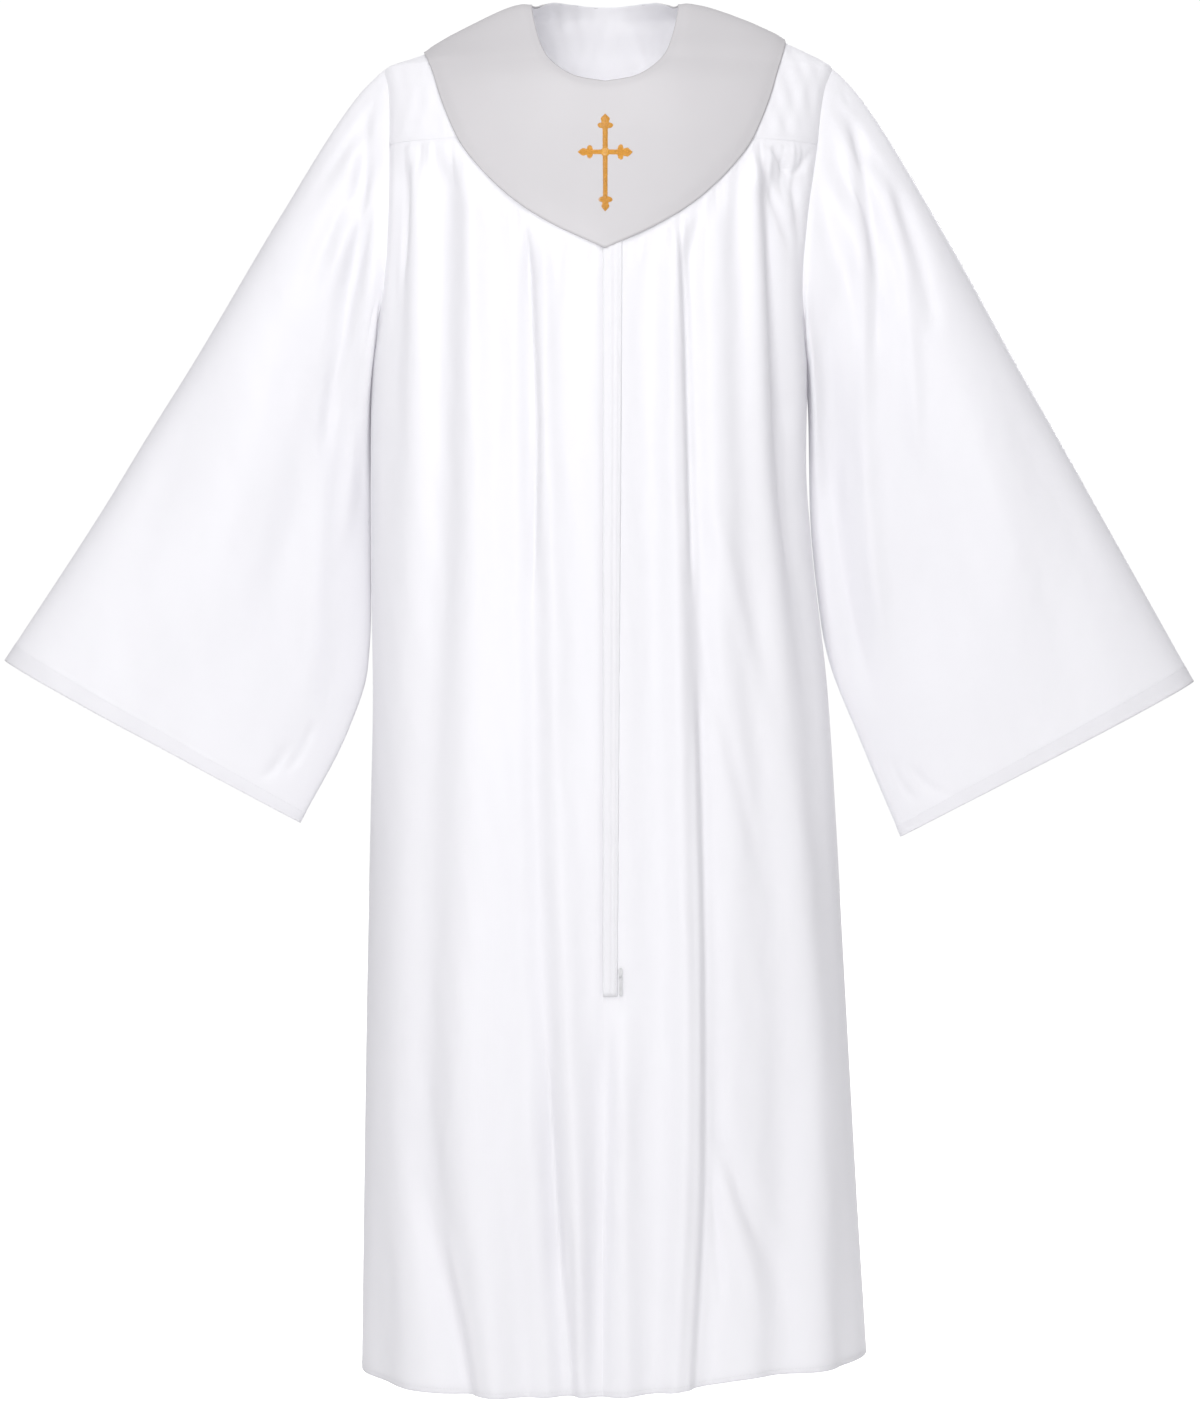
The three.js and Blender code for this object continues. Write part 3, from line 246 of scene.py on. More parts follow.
SLEEVE_FOLDS = table("share out reach ends", [
    (0.1, -3, 0.03, 0.2), (0.17, 3, 0.04, 0.24), (0.27, -5, 0.05, 0.3), (0.37, 4, 0.05, 0.3),
    (0.49, -3, 0.06, 0.3), (0.63, 2, 0.07, 0.4), (0.77, -2, 0.07, 0.4)])

CROSS_CENTRE_Z = -148
CROSS_ARMS = [("up", 35.5, 0), ("right", 24.5, 90), ("down", 54.5, 180), ("left", 24.5, 270)]
CROSS_BAR = 2.7  # half the bar's width
CROSS_TIP = table("from_end half", [
    (13.5, 2.7), (12.5, 6.6), (10.2, 7.8), (8.4, 6.2), (8, 3.6), (4.6, 4.4), (0, 0.5)])


# Numbers and curves

def mix(a, b, t):
    return a + (b - a) * t


def ease(start, end, x):
    t = np.clip((x - start) / (end - start), 0, 1)
    return t * t * (3 - 2 * t)


def curve(xs, ys):
    """A smooth curve through a table's rows that never overshoots them."""
    order = np.argsort(xs)
    xs = np.asarray(xs, float)[order]
    ys = np.asarray(ys, float)[order]
    widths = np.diff(xs)
    slopes = np.diff(ys) / widths
    before, after = slopes[:-1], slopes[1:]
    same_way = before * after > 0
    inner = np.where(same_way, 2 * before * after / np.where(same_way, before + after, 1), 0)
    tangents = np.concatenate([slopes[:1], inner, slopes[-1:]])

    def at(x):
        x = np.clip(x, xs[0], xs[-1])
        i = np.clip(np.searchsorted(xs, x, side="right") - 1, 0, len(widths) - 1)
        t = (x - xs[i]) / widths[i]
        s = 1 - t
        start = ys[i] * (1 + 2 * t) * s * s + widths[i] * tangents[i] * t * s * s
        end = ys[i + 1] * (3 - 2 * t) * t * t - widths[i] * tangents[i + 1] * t * t * s
        return start + end

    return at


def spaced(ends, counts):
    """Values in spans from end to end, each span with its own count."""
    spans = [np.linspace(a, b, count)[1:] for a, b, count in zip(ends, ends[1:], counts)]
    return np.concatenate([ends[:1], *spans])


def unit(vectors):
    return vectors / np.maximum(np.linalg.norm(vectors, axis=-1, keepdims=True), 1e-9)


def outward(surface, a, b, da, db):
    """The normal of surface(a, b), measured over small steps."""
    along = surface(a + da, b) - surface(a - da, b)
    across = surface(a, b + db) - surface(a, b - db)
    return unit(np.cross(along, across))


# The form that all panels lie on

half = {1: curve(FORM["z"], FORM["left"]), -1: curve(FORM["z"], FORM["right"])}
deep = {BACK: curve(FORM["z"], FORM["back"]), FRONT: curve(FORM["z"], FORM["front"])}
square = {BACK: curve(FORM["z"], FORM["back_square"]), FRONT: curve(FORM["z"], FORM["front_square"])}
arm_share = curve(ARMHOLE["z"], ARMHOLE["share"])
hem_at = curve(HEM["x"], HEM["z"])
collar_drop = {FRONT: curve(COLLAR_FRONT["x"], COLLAR_FRONT["drop"]),
               BACK: curve(COLLAR_BACK["x"], COLLAR_BACK["drop"])}


def half_at(x, z):
    return np.where(x < 0, half[-1](z), half[1](z))


def form_point(x, z, face):
    x, z, face = np.broadcast_arrays(np.asarray(x, float), np.asarray(z, float), face)
    share = np.minimum(np.abs(x) / np.maximum(half_at(x, z), 1e-6), 1)
    n = np.where(face > 0, square[BACK](z), square[FRONT](z))
    depth = np.where(face > 0, deep[BACK](z), deep[FRONT](z))
    return np.stack([x, face * depth * (1 - share ** n) ** (1 / n), z], -1)


RIDGE_LEVELS = np.linspace(FORM["z"].max(), TIP_Z, 4000)


def shoulder_z(x):
    """The height of the shoulder line above x."""
    left = np.interp(np.abs(x), half[1](RIDGE_LEVELS), RIDGE_LEVELS)
    right = np.interp(np.abs(x), half[-1](RIDGE_LEVELS), RIDGE_LEVELS)
    return np.where(x < 0, right, left)


def over_shoulder(x, root):
    """The form by x and the root of the drop below the shoulder line, below zero at the back."""
    return form_point(x, shoulder_z(x) - root * root, np.where(root < 0, BACK, FRONT))


def around_body(degrees, z):
    turn = np.radians(degrees)
    share = np.sin(turn)
    return form_point(share * half_at(share, z), z, np.where(np.cos(turn) < 0, BACK, FRONT))


def side_degrees(z):
    """The armhole's or the side seam's place round the body."""
    return np.degrees(np.arcsin(np.clip(arm_share(z), 0, 1)))


def closing_degrees(z):
    return np.degrees(np.arcsin(CENTRE_X / half_at(CENTRE_X, z)))


# Folds, gathers and creases

def fold_top(x, face):
    edge = shoulder_z(x) - collar_drop[face](np.abs(x))
    inside = np.abs(x) < COLLAR_FRONT["x"][-1]
    return np.minimum(YOKE_Z, np.where(inside, edge, YOKE_Z))


def from_side(x, z):
    """The way across to the armhole, or below it to the side seam."""
    return half_at(x, z) * arm_share(z) - np.abs(x)


def side_fade(x, z):
    return ease(0, SIDE_CALM, from_side(x, z))


def fold_out(x, z, face):
    """The main folds, as the solids have them."""
    top = fold_top(x, face)
    start = 1 - ease(top - FOLD_START, top - FLAT_EDGE, z)
    total = np.zeros(np.broadcast(x, z).shape)
    for name, xs, outs, reaches in FOLDS[face]:
        away = (x - curve(FOLD_LEVELS, xs)(z)) / curve(FOLD_LEVELS, reaches)(z)
        grown = 1 - ease(LAP_FOOT_Z - 2 * FOLD_START, LAP_FOOT_Z, z) if name in BELOW_ZIP else 1
        total = total + grown * curve(FOLD_LEVELS, outs)(z) * np.exp(-away * away)
    return total * start * side_fade(x, z)


def crease_out(x, z, creases):
    """Soft troughs and ridges along paths, each narrow in the middle of its length."""
    total = np.zeros(np.broadcast(x, z).shape)
    for _, path, out, reach, fade in creases:
        xs, zs = np.array(path, float).T
        line = curve(zs, xs)
        slope = (line(z + 2) - line(z - 2)) / 4
        away = (x - line(z)) / np.sqrt(1 + slope ** 2) / reach
        ends = ease(0, fade, zs[0] - z)
        if zs[-1] > HEM_Z + 4:
            ends = ends * ease(0, fade, z - zs[-1])
        total = total + out * ends * np.exp(-away * away)
    return total


def gather_rows(seed, spacing):
    """Small uneven gathers below the yoke seam: place, height, reach, length and drift of each."""
    draw = np.random.default_rng(seed)
    rows = []
    x = -200.0
    while x < 206:
        rows.append((x, draw.uniform(0.4, 1.3) * (1 if len(rows) % 2 else -1), draw.uniform(1.9, 3.8),
                     draw.uniform(24, 105), draw.uniform(-0.05, 0.05)))
        x += spacing * draw.uniform(0.6, 1.5)
    return rows


GATHERS = {FRONT: gather_rows(11, 8.5), BACK: gather_rows(23, 7.5)}


def gather_out(x, z, face):
    top = fold_top(x, face)
    below = top - z
    total = np.zeros(np.broadcast(x, z).shape)
    for place, out, reach, length, drift in GATHERS[face]:
        away = (x - place * (1 + below * 0.0002) - drift * below) / (reach * (1 + below / 160))
        fade = ease(1, 7, below) * (1 - ease(0.25 * length, length, below))
        total = total + out * np.exp(-away * away) * fade
    return total * side_fade(x, z)


def waves(seed, count, long_x, long_z):
    """A sum of soft waves, the same on each run; its size is about 1."""
    draw = np.random.default_rng(seed)
    rows = [(draw.uniform(0.5, 1.6) * 2 * np.pi / long_x, draw.uniform(-1.5, 1.5) * 2 * np.pi / long_z,
             draw.uniform(0, 2 * np.pi), draw.uniform(0.5, 1)) for _ in range(count)]

    def at(x, z):
        total = sum(size * np.sin(kx * x + kz * z + phase) for kx, kz, phase, size in rows)
        return total / math.sqrt(count / 2)

    return at


slow = {FRONT: waves(3, 7, 90, 420), BACK: waves(4, 7, 90, 420)}
fine = {FRONT: waves(5, 9, 26, 130), BACK: waves(6, 9, 26, 130)}
sleeve_slow = {1: waves(7, 7, 110, 260), -1: waves(8, 7, 110, 260)}
sleeve_fine = {1: waves(9, 9, 34, 90), -1: waves(10, 9, 34, 90)}


def body_out(x, z, face):
    soft = 0.6 * slow[face](x, z) + 0.16 * fine[face](x, z)
    below = ease(YOKE_Z, YOKE_Z - 60, z)
    calm_lap = 1 - 0.75 * np.exp(-((x - 7) / 14) ** 2) * (z > LAP_FOOT_Z - 20) if face == FRONT else 1
    soft = soft * below * side_fade(x, z) * calm_lap
    creases = crease_out(x, z, CREASES[face]) * side_fade(x, z)
    return fold_out(x, z, face) + gather_out(x, z, face) * calm_lap + creases + soft


def seam_dip(distance):
    """The cloth turns in where it is sewn to its neighbour."""
    return -SEAM_DIP * np.exp(-(distance / SEAM_REACH) ** 2)


# Meshes

def linked(name, data, material=None):
    made = bpy.data.objects.new(name, data)
    bpy.context.scene.collection.objects.link(made)
    if material is not None:
        made.data.materials.append(material)
    return made


def grid_object(name, points, material, closed=False, flip=False):
    """A sheet over a grid of points in millimetres, rows by columns, as an object in metres."""
    rows, columns = points.shape[:2]
    steps = columns if closed else columns - 1
    i, j = np.meshgrid(np.arange(rows - 1), np.arange(steps), indexing="ij")
    k = (j + 1) % columns
    faces = np.stack([i * columns + j, i * columns + k, (i + 1) * columns + k, (i + 1) * columns + j], -1)
    faces = faces.reshape(-1, 4)
    if flip:
        faces = faces[:, ::-1]
    mesh = bpy.data.meshes.new(name)
    mesh.from_pydata((points.reshape(-1, 3) * MM).tolist(), [], faces.tolist())
    mesh.polygons.foreach_set("use_smooth", np.ones(len(faces), bool))
    layer = mesh.uv_layers.new(name="cloth")
    corners = np.zeros(len(mesh.loops), np.int32)
    mesh.loops.foreach_get("vertex_index", corners)
    layer.data.foreach_set("uv", lengths(points).reshape(-1, 2)[corners].astype(np.float32).ravel())
    mesh.update()
    return linked(name, mesh, material)


def lengths(points):
    """Grid coordinates in metres along the cloth, for its weave."""
    across = np.linalg.norm(np.diff(points, axis=1), axis=-1).mean(axis=0)
    down = np.linalg.norm(np.diff(points, axis=0), axis=-1).mean(axis=1)
    u = np.concatenate([[0], np.cumsum(across)])
    v = np.concatenate([[0], np.cumsum(down)])
    return np.stack(np.meshgrid(u, v), -1) * MM


def thicken(piece, millimetres):
    solidify = piece.modifiers.new("thickness", "SOLIDIFY")
    solidify.thickness = millimetres * MM
    solidify.offset = -1
    solidify.use_even_offset = False


def dress(piece, node):
    """The piece takes its solid's place on the robe."""
    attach(piece, "robe")
    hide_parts(node)
    return piece


# Materials

def node_material(name):
    material = bpy.data.materials.new(name)
    material.use_nodes = True
    nodes = material.node_tree.nodes
    return material, nodes, material.node_tree.links, nodes["Principled BSDF"]


def put(node, values):
    """Sets a shader node's inputs by their names."""
    for name, value in values.items():
        node.inputs[name].default_value = value


def weave_height(nodes, links, threads_per_metre):
    """Fine crossing threads in the cloth's own coordinates."""
    place = nodes.new("ShaderNodeUVMap")
    place.uv_map = "cloth"
    both = nodes.new("ShaderNodeMath")
    both.operation = "MAXIMUM"
    for i, direction in enumerate("XY"):
        wave = nodes.new("ShaderNodeTexWave")
        wave.wave_type = "BANDS"
        wave.bands_direction = direction
        put(wave, {"Scale": threads_per_metre / 20, "Distortion": 0.6, "Detail": 1, "Detail Scale": 2})
        links.new(place.outputs["UV"], wave.inputs["Vector"])
        links.new(wave.outputs["Fac"], both.inputs[i])
    return both.outputs[0]


def bump(nodes, links, height, strength, distance, before=None):
    node = nodes.new("ShaderNodeBump")
    put(node, {"Strength": strength, "Distance": distance})
    links.new(height, node.inputs["Height"])
    if before is not None:
        links.new(before, node.inputs["Normal"])
    return node.outputs["Normal"]


def noise(nodes, links, scale, detail, stretch=(1, 1, 1)):
    """Soft noise in the object's own frame."""
    coordinates = nodes.new("ShaderNodeTexCoord")
    mapping = nodes.new("ShaderNodeMapping")
    mapping.inputs["Scale"].default_value = stretch
    texture = nodes.new("ShaderNodeTexNoise")
    put(texture, {"Scale": scale, "Detail": detail})
    links.new(coordinates.outputs["Object"], mapping.inputs["Vector"])
    links.new(mapping.outputs["Vector"], texture.inputs["Vector"])
    return texture.outputs["Fac"]


def tone(nodes, links, value, low, high, dark, light):
    ramp = nodes.new("ShaderNodeValToRGB")
    for end, place, colour in zip(ramp.color_ramp.elements, (low, high), (dark, light)):
        end.position = place
        end.color = (*colour, 1)
    links.new(value, ramp.inputs["Fac"])
    return ramp.outputs["Color"]


def cloth_material(name, dark, light, roughness, sheen, threads, thin):
    """Woven cloth; thin is the share of light that shines through it."""
    material, nodes, links, shader = node_material(name)
    patches = noise(nodes, links, 3.5, 3, (1.6, 1.6, 0.5))
    colour = tone(nodes, links, patches, 0.35, 0.65, dark, light)
    links.new(colour, shader.inputs["Base Color"])
    put(shader, {"Roughness": roughness, "Sheen Weight": sheen, "Sheen Roughness": 0.4,
                 "Specular IOR Level": 0.35})
    slub = bump(nodes, links, noise(nodes, links, 900, 2, (1, 1, 0.12)), 0.12, 0.00012)
    woven = bump(nodes, links, weave_height(nodes, links, threads), 0.22, 0.00006, slub)
    links.new(woven, shader.inputs["Normal"])
    through = nodes.new("ShaderNodeBsdfTranslucent")
    links.new(colour, through.inputs["Color"])
    both = nodes.new("ShaderNodeMixShader")
    both.inputs[0].default_value = thin
    links.new(shader.outputs[0], both.inputs[1])
    links.new(through.outputs[0], both.inputs[2])
    links.new(both.outputs[0], nodes["Material Output"].inputs["Surface"])
    return material


def thread_material(name, dark, light, roughness):
    """Shiny embroidery thread, with a twist that shows close by."""
    material, nodes, links, shader = node_material(name)
    strands = noise(nodes, links, 1400, 2)
    links.new(tone(nodes, links, strands, 0.35, 0.7, dark, light), shader.inputs["Base Color"])
    put(shader, {"Roughness": roughness, "Sheen Weight": 0.25, "Specular IOR Level": 0.6})
    links.new(bump(nodes, links, strands, 0.35, 0.00015), shader.inputs["Normal"])
    return material


def metal_material(name):
    material, nodes, links, shader = node_material(name)
    worn = noise(nodes, links, 700, 4, (1, 1, 0.25))
    links.new(tone(nodes, links, worn, 0.3, 0.7, (0.60, 0.60, 0.61), (0.74, 0.74, 0.76)),
              shader.inputs["Base Color"])
    put(shader, {"Metallic": 1, "Roughness": 0.34})
    links.new(bump(nodes, links, worn, 0.25, 0.0001), shader.inputs["Normal"])
    return material


ROBE = cloth_material("robe cloth", (0.890, 0.885, 0.912), (0.918, 0.913, 0.940), roughness=0.5,
                      sheen=0.12, threads=2600, thin=0.2)
COLLAR = cloth_material("collar cloth", (0.575, 0.56, 0.575), (0.61, 0.595, 0.61), roughness=0.46,
                        sheen=0.1, threads=2200, thin=0.05)
STITCH = thread_material("white thread", (0.80, 0.80, 0.82), (0.90, 0.90, 0.93), 0.5)
GOLD = thread_material("gold thread", (0.46, 0.20, 0.016), (0.86, 0.44, 0.055), 0.38)
METAL = metal_material("zip metal")


# Body panels

BODY_ROWS = spaced((YOKE_Z, YOKE_Z - GATHERED, HEM_Z + TURNING, HEM_Z), (36, 150, 13))

# Each panel's face, the degrees round the body of its two edges at a level, its columns,
# and which of its edges are sides.
PANELS = {
    "front_left": (FRONT, closing_degrees, side_degrees, 170, (0, 1)),
    "front_right": (FRONT, lambda z: -side_degrees(z), closing_degrees, 170, (1, 0)),
    "back": (BACK, lambda z: 180 - side_degrees(z), lambda z: 180 + side_degrees(z), 300, (1, 1)),
}


def body_point(degrees, z, lift, face):
    on_form = around_body(degrees, z)
    calm = outward(around_body, degrees, z, 0.4, 1)
    x = on_form[..., 0]
    hem = ease(UNDERARM_Z, HEM_Z, z) * (hem_at(x) - HEM_Z)
    sides = seam_dip(np.where(z > UNDERARM_Z, from_side(x, z), np.abs(on_form[..., 1])))
    closing = 0
    if face == FRONT:
        closing = seam_dip(x - CENTRE_X) * mix(0.3, 1.3, ease(LAP_FOOT_Z - 30, LAP_FOOT_Z, z))
    out = body_out(x, z, face) + sides + closing + seam_dip(YOKE_Z - z) + lift
    point = on_form + calm * out[..., None]
    point[..., 2] += hem
    return point


def body_panel(node):
    """A front or the back. Next to a side, only a few columns follow the armhole's sharp curve."""
    face, first, last, columns, sides = PANELS[node]
    share = np.linspace(0, 1, columns)
    turned = [(HEM_Z - 0.3, WALL - 0.45), (HEM_Z + 0.4, WALL - 0.9), (HEM_Z + 3, WALL - 1.0),
              (HEM_Z + HEM_TURNED, WALL - 1.0)]
    levels = np.array([(z, WALL) for z in BODY_ROWS] + turned)
    z = levels[:, :1] + 0 * share
    side = side_degrees(z)
    slack = side - np.minimum(side, 70 + 20 * ease(UNDERARM_Z + 90, UNDERARM_Z - 90, z))
    at_first, at_last = slack * sides[0], slack * sides[1]
    degrees = mix(first(levels[:, :1]) + at_first, last(levels[:, :1]) - at_last, share)
    degrees = degrees - at_first * (1 - share) ** 8 + at_last * share ** 8
    points = body_point(degrees, z, levels[:, 1:] + 0 * share, face)
    return dress(grid_object(f"{node}_cloth", points, ROBE, flip=True), node)


# Yokes

def yoke_levels(count):
    return TIP_Z + (YOKE_Z - TIP_Z) * np.linspace(0, 1, count) ** 2


def yoke_out(x, root):
    """Slight slack in a yoke, none at its edges."""
    z = shoulder_z(x) - root * root
    side = from_side(x, z)
    inside = ease(0, 14, side) * ease(0, 1.6, np.abs(root)) * ease(YOKE_Z, YOKE_Z + 16, z)
    soft = 0.5 * fine[FRONT](1.3 * x + 7, 2 * z)
    return soft * inside + seam_dip(side) + seam_dip(z - YOKE_Z) * 0.7 + seam_dip(9 * root) * 0.8


def yoke_points(x, root):
    normal = -outward(over_shoulder, x, root, 0.2, 0.02)
    return over_shoulder(x, root) + normal * (WALL + yoke_out(x, root))[..., None]


def yoke_front(side, rows=44, columns=84):
    neck_fan = 0.5  # the neck's part of the yoke's lower edge
    neck_x = curve(NECK_FRONT["round"], NECK_FRONT["x"])
    neck_drop = curve(NECK_FRONT["round"], NECK_FRONT["drop"])
    neck_end = NECK_FRONT["x"][-1]
    centre = side * CENTRE_X
    z = yoke_levels(rows)[:, None]
    share = np.linspace(0, 1, columns)[None, :]
    arm_x = half[side](z) * arm_share(z)
    arm_root = np.sqrt(np.maximum(shoulder_z(side * arm_x) - z, 0))
    down = arm_root / arm_root[-1]
    around = np.minimum(share / NECK_SHARE, 1)
    past = np.clip((share - NECK_SHARE) / (1 - NECK_SHARE), 0, 1)
    on_neck = share <= NECK_SHARE
    along = np.where(on_neck, neck_fan * around, mix(neck_fan, 1, past))
    tip_x, low_x = arm_x[0], arm_x[-1]
    neck = mix(centre, neck_end, neck_x(around) / neck_end)
    top_x = np.where(on_neck, neck, mix(neck_end, tip_x, past))
    top_root = np.where(on_neck, np.sqrt(neck_drop(around)), 0)
    bottom_x = mix(centre, low_x, along)
    bottom_root = np.sqrt(np.maximum(shoulder_z(side * bottom_x) - YOKE_Z, 0))
    bend = along ** 2 * (arm_x - mix(tip_x, low_x, down))
    x = mix(top_x, bottom_x, down) + bend
    root = mix(top_root, bottom_root, down)
    root = np.where(share == 1, arm_root, root)
    node = f"yoke_front_{SIDES[side]}"
    points = yoke_points(side * x, np.maximum(root, 0.01))
    return dress(grid_object(f"{node}_cloth", points, ROBE, flip=side > 0), node)


def yoke_back(rows=44, columns=161):
    neck_z = curve(NECK_EDGE[BACK]["x"], NECK_EDGE[BACK]["z"])
    neck_end = NECK_EDGE[BACK]["x"][-1]
    z = yoke_levels(rows)[:, None]
    across = np.linspace(-1, 1, columns)[None, :]
    along = np.abs(across)
    side = np.where(across < 0, -1, 1)
    width = half_at(side, z) * arm_share(z)
    arm_root = np.sqrt(np.maximum(shoulder_z(side * width) - z, 0))
    down = arm_root / arm_root[-1]
    tip_x, low_x = width[:1], width[-1:]
    past = np.clip((along - NECK_SHARE) / (1 - NECK_SHARE), 0, 1)
    on_neck = along <= NECK_SHARE
    top_x = np.where(on_neck, neck_end * along / NECK_SHARE, mix(neck_end, tip_x, past))
    end_drop = shoulder_z(side * neck_end) - neck_z(neck_end)
    top_drop = shoulder_z(side * top_x) - neck_z(top_x) - mix(0.8, end_drop, ease(50, neck_end, top_x))
    top_root = np.where(on_neck, np.sqrt(np.maximum(top_drop, 0)), 0)
    bottom_x = low_x * along
    bottom_root = np.sqrt(np.maximum(shoulder_z(side * bottom_x) - YOKE_Z, 0))
    bend = along ** 2 * (width - mix(tip_x, low_x, down))
    x = side * (mix(top_x, bottom_x, down) + bend)
    root = np.where(along == 1, arm_root, mix(top_root, bottom_root, down))
    points = yoke_points(x, -np.maximum(root, 0.01))
    return dress(grid_object("yoke_back_cloth", points, ROBE), "yoke_back")


# Sleeves

def down_sleeve(s):
    """Round a sleeve, s is 0 on top, 1 underneath and 2 on top again, the front first."""
    return np.where(s <= 1, np.abs(s), 2 - s)


def sleeve_surface(side):
    rows = SLEEVES[side]
    column = {name: curve(rows["t"], rows[name]) for name in rows if name != "t"}

    def at(s, t):
        share = down_sleeve(s)
        face = np.where((s < 0) | (s > 1), BACK, FRONT)
        hole_z = mix(TIP_Z, UNDERARM_Z, share)
        hole = form_point(half[side](hole_z) * arm_share(hole_z) * side, hole_z, face)
        near = 1 - ease(0, 0.3, t)
        line_x = mix(column["upper_x"](t), column["lower_x"](t), share)
        line_z = mix(column["upper_z"](t), column["lower_z"](t), share)
        bulge = side * hole[..., 0] - mix(column["upper_x"](0), column["lower_x"](0), share)
        rounding = np.sqrt(np.maximum(4 * share * (1 - share), 0))
        upper = np.clip(1 - share, 0, 1) ** 1.2
        flat = rounding * mix(column["lower_deep"](t), column["upper_deep"](t), upper)
        gather = 0
        for place, out, reach, ends in zip(*SLEEVE_FOLDS.values()):
            away = (share - place) / reach
            fade = ease(0, 0.08, t) * (1 - ease(ends * 0.3, ends, t))
            gather = gather + out * fade * np.exp(-away * away)
        y = face * (mix(flat, np.abs(hole[..., 1]), near) + gather * np.minimum(rounding * 1.5, 1))
        return np.stack([side * (line_x + bulge * near), y, line_z], -1)

    return at


# Creases of the sleeves, as the robe's, by (away from the middle, z)
SLEEVE_CREASES = {}
SLEEVE_CREASES[1, FRONT] = [
    ("head crease", [(229, -92), (238, -150), (246, -205), (250, -262), (249, -330)], -5, 6.5, 40),
    ("head ridge", [(220, -110), (229, -180), (238, -260), (240, -380), (250, -520), (262, -610)],
     4.6, 9, 70),
    ("inner fall", [(200, -240), (205, -330), (211, -440), (226, -560), (246, -660)], -7, 13, 80),
    ("second crease", [(262, -150), (276, -190), (294, -250), (306, -320)], -4.2, 8, 50),
    ("second ridge", [(253, -130), (264, -190), (277, -260), (284, -350), (290, -450)], 3.2, 8, 60),
    ("broad hollow", [(270, -330), (286, -430), (300, -540), (318, -660)], -4.5, 24, 130),
    ("broad ridge", [(318, -300), (348, -400), (376, -510), (398, -610)], 4, 26, 130),
    ("outer hollow", [(356, -330), (400, -420), (438, -510), (462, -590)], -3, 20, 110),
    ("corner crease", [(262, -690), (276, -722), (292, -742)], -2.4, 4, 16),
    ("corner crease 2", [(282, -700), (300, -722), (322, -736)], -2.0, 4, 14),
    ("cap pucker", [(216, -62), (222, -76), (226, -94)], -1.8, 2.6, 10),
]
SLEEVE_CREASES[-1, FRONT] = [
    ("head crease", [(219, -78), (223, -140), (226, -202), (241, -301), (254, -367), (262, -430)],
     -5, 7, 50),
    ("inner ridge", [(210, -150), (212, -220), (222, -310), (236, -420), (246, -520)], 3.6, 8, 70),
    ("head ridge", [(232, -120), (240, -200), (256, -290), (268, -350)], 2.4, 8, 60),
    ("long ridge", [(250, -350), (266, -480), (272, -600), (278, -700)], 4.4, 14, 110),
    ("long hollow", [(276, -380), (290, -470), (304, -570), (300, -670)], -5, 20, 120),
    ("broad ridge", [(310, -330), (340, -430), (362, -540), (372, -650)], 4, 28, 130),
    ("outer hollow", [(352, -330), (396, -420), (432, -510), (456, -580)], -4, 22, 110),
    ("corner crease", [(294, -680), (306, -704), (322, -722)], -2.6, 4.5, 15),
    ("corner crease 2", [(270, -660), (282, -690), (300, -716)], -2.2, 4, 16),
    ("cap pucker", [(209, -62), (214, -80), (216, -100)], -1.8, 2.6, 10),
]
SLEEVE_CREASES[1, BACK] = [
    ("head crease", [(222, -100), (236, -180), (246, -270), (250, -370)], -4.6, 7, 60),
    ("second crease", [(246, -130), (268, -210), (290, -310), (304, -410)], -4.2, 9, 80),
    ("long ridge", [(262, -330), (284, -450), (300, -570), (318, -680)], 4.5, 20, 130),
    ("long hollow", [(316, -330), (346, -430), (370, -540), (388, -640)], -5, 24, 130),
    ("cap pucker", [(215, -62), (220, -80), (224, -100)], -1.8, 2.6, 10),
]
SLEEVE_CREASES[-1, BACK] = [
    ("head crease", [(214, -100), (226, -180), (240, -270), (254, -370)], -4.6, 7, 60),
    ("second crease", [(238, -130), (262, -220), (282, -310), (300, -420)], -4.0, 9, 80),
    ("long ridge", [(260, -330), (280, -450), (292, -570), (300, -680)], 4.5, 20, 130),
    ("long hollow", [(312, -330), (344, -440), (366, -540), (380, -640)], -5, 24, 130),
    ("cap pucker", [(207, -62), (212, -80), (215, -100)], -1.8, 2.6, 10),
]


def sleeve_out(side, s, t, point):
    share = down_sleeve(s)
    x, z = side * point[..., 0], point[..., 2]
    creases = np.where(s > 1, crease_out(x, z, SLEEVE_CREASES[side, BACK]),
                       crease_out(x, z, SLEEVE_CREASES[side, FRONT]))
    phase = np.where(s > 1, 300, 0)
    soft = 0.9 * sleeve_slow[side](x + phase, z) + 0.2 * sleeve_fine[side](x + phase, z)
    edges = np.minimum(4 * share * (1 - share), 1)
    return (creases * np.minimum(edges * 2.5, 1) + soft * edges) * ease(0, 0.05, t)


def sleeve_point(side, s, t, lift):
    surface = sleeve_surface(side)
    point = surface(s, t)
    own = side * outward(surface, s, t, 0.004, 0.004)
    share = down_sleeve(s)
    turn = side_degrees(mix(TIP_Z, UNDERARM_Z, share))
    degrees = np.where(s > 1, side * (180 - turn), side * turn)
    body = outward(around_body, degrees, point[..., 2], 0.4, 1)
    under = ease(0.8, 0.97, share)
    near = 1 - ease(0, 0.035, t)
    blend = ((1 - under) * near)[..., None]
    normal = unit(mix(own, body, blend))
    shift = body * (under * near * (2 * WALL + 0.3))[..., None]
    dip = seam_dip(t * 640) * (1 - 0.6 * under)
    cuff = 0.22 * ease(-2, 0, (t - 1) * SLEEVE_LENGTH + CUFF_TURNED)
    return point + shift + normal * (lift + sleeve_out(side, s, t, point) + dip + cuff)[..., None]


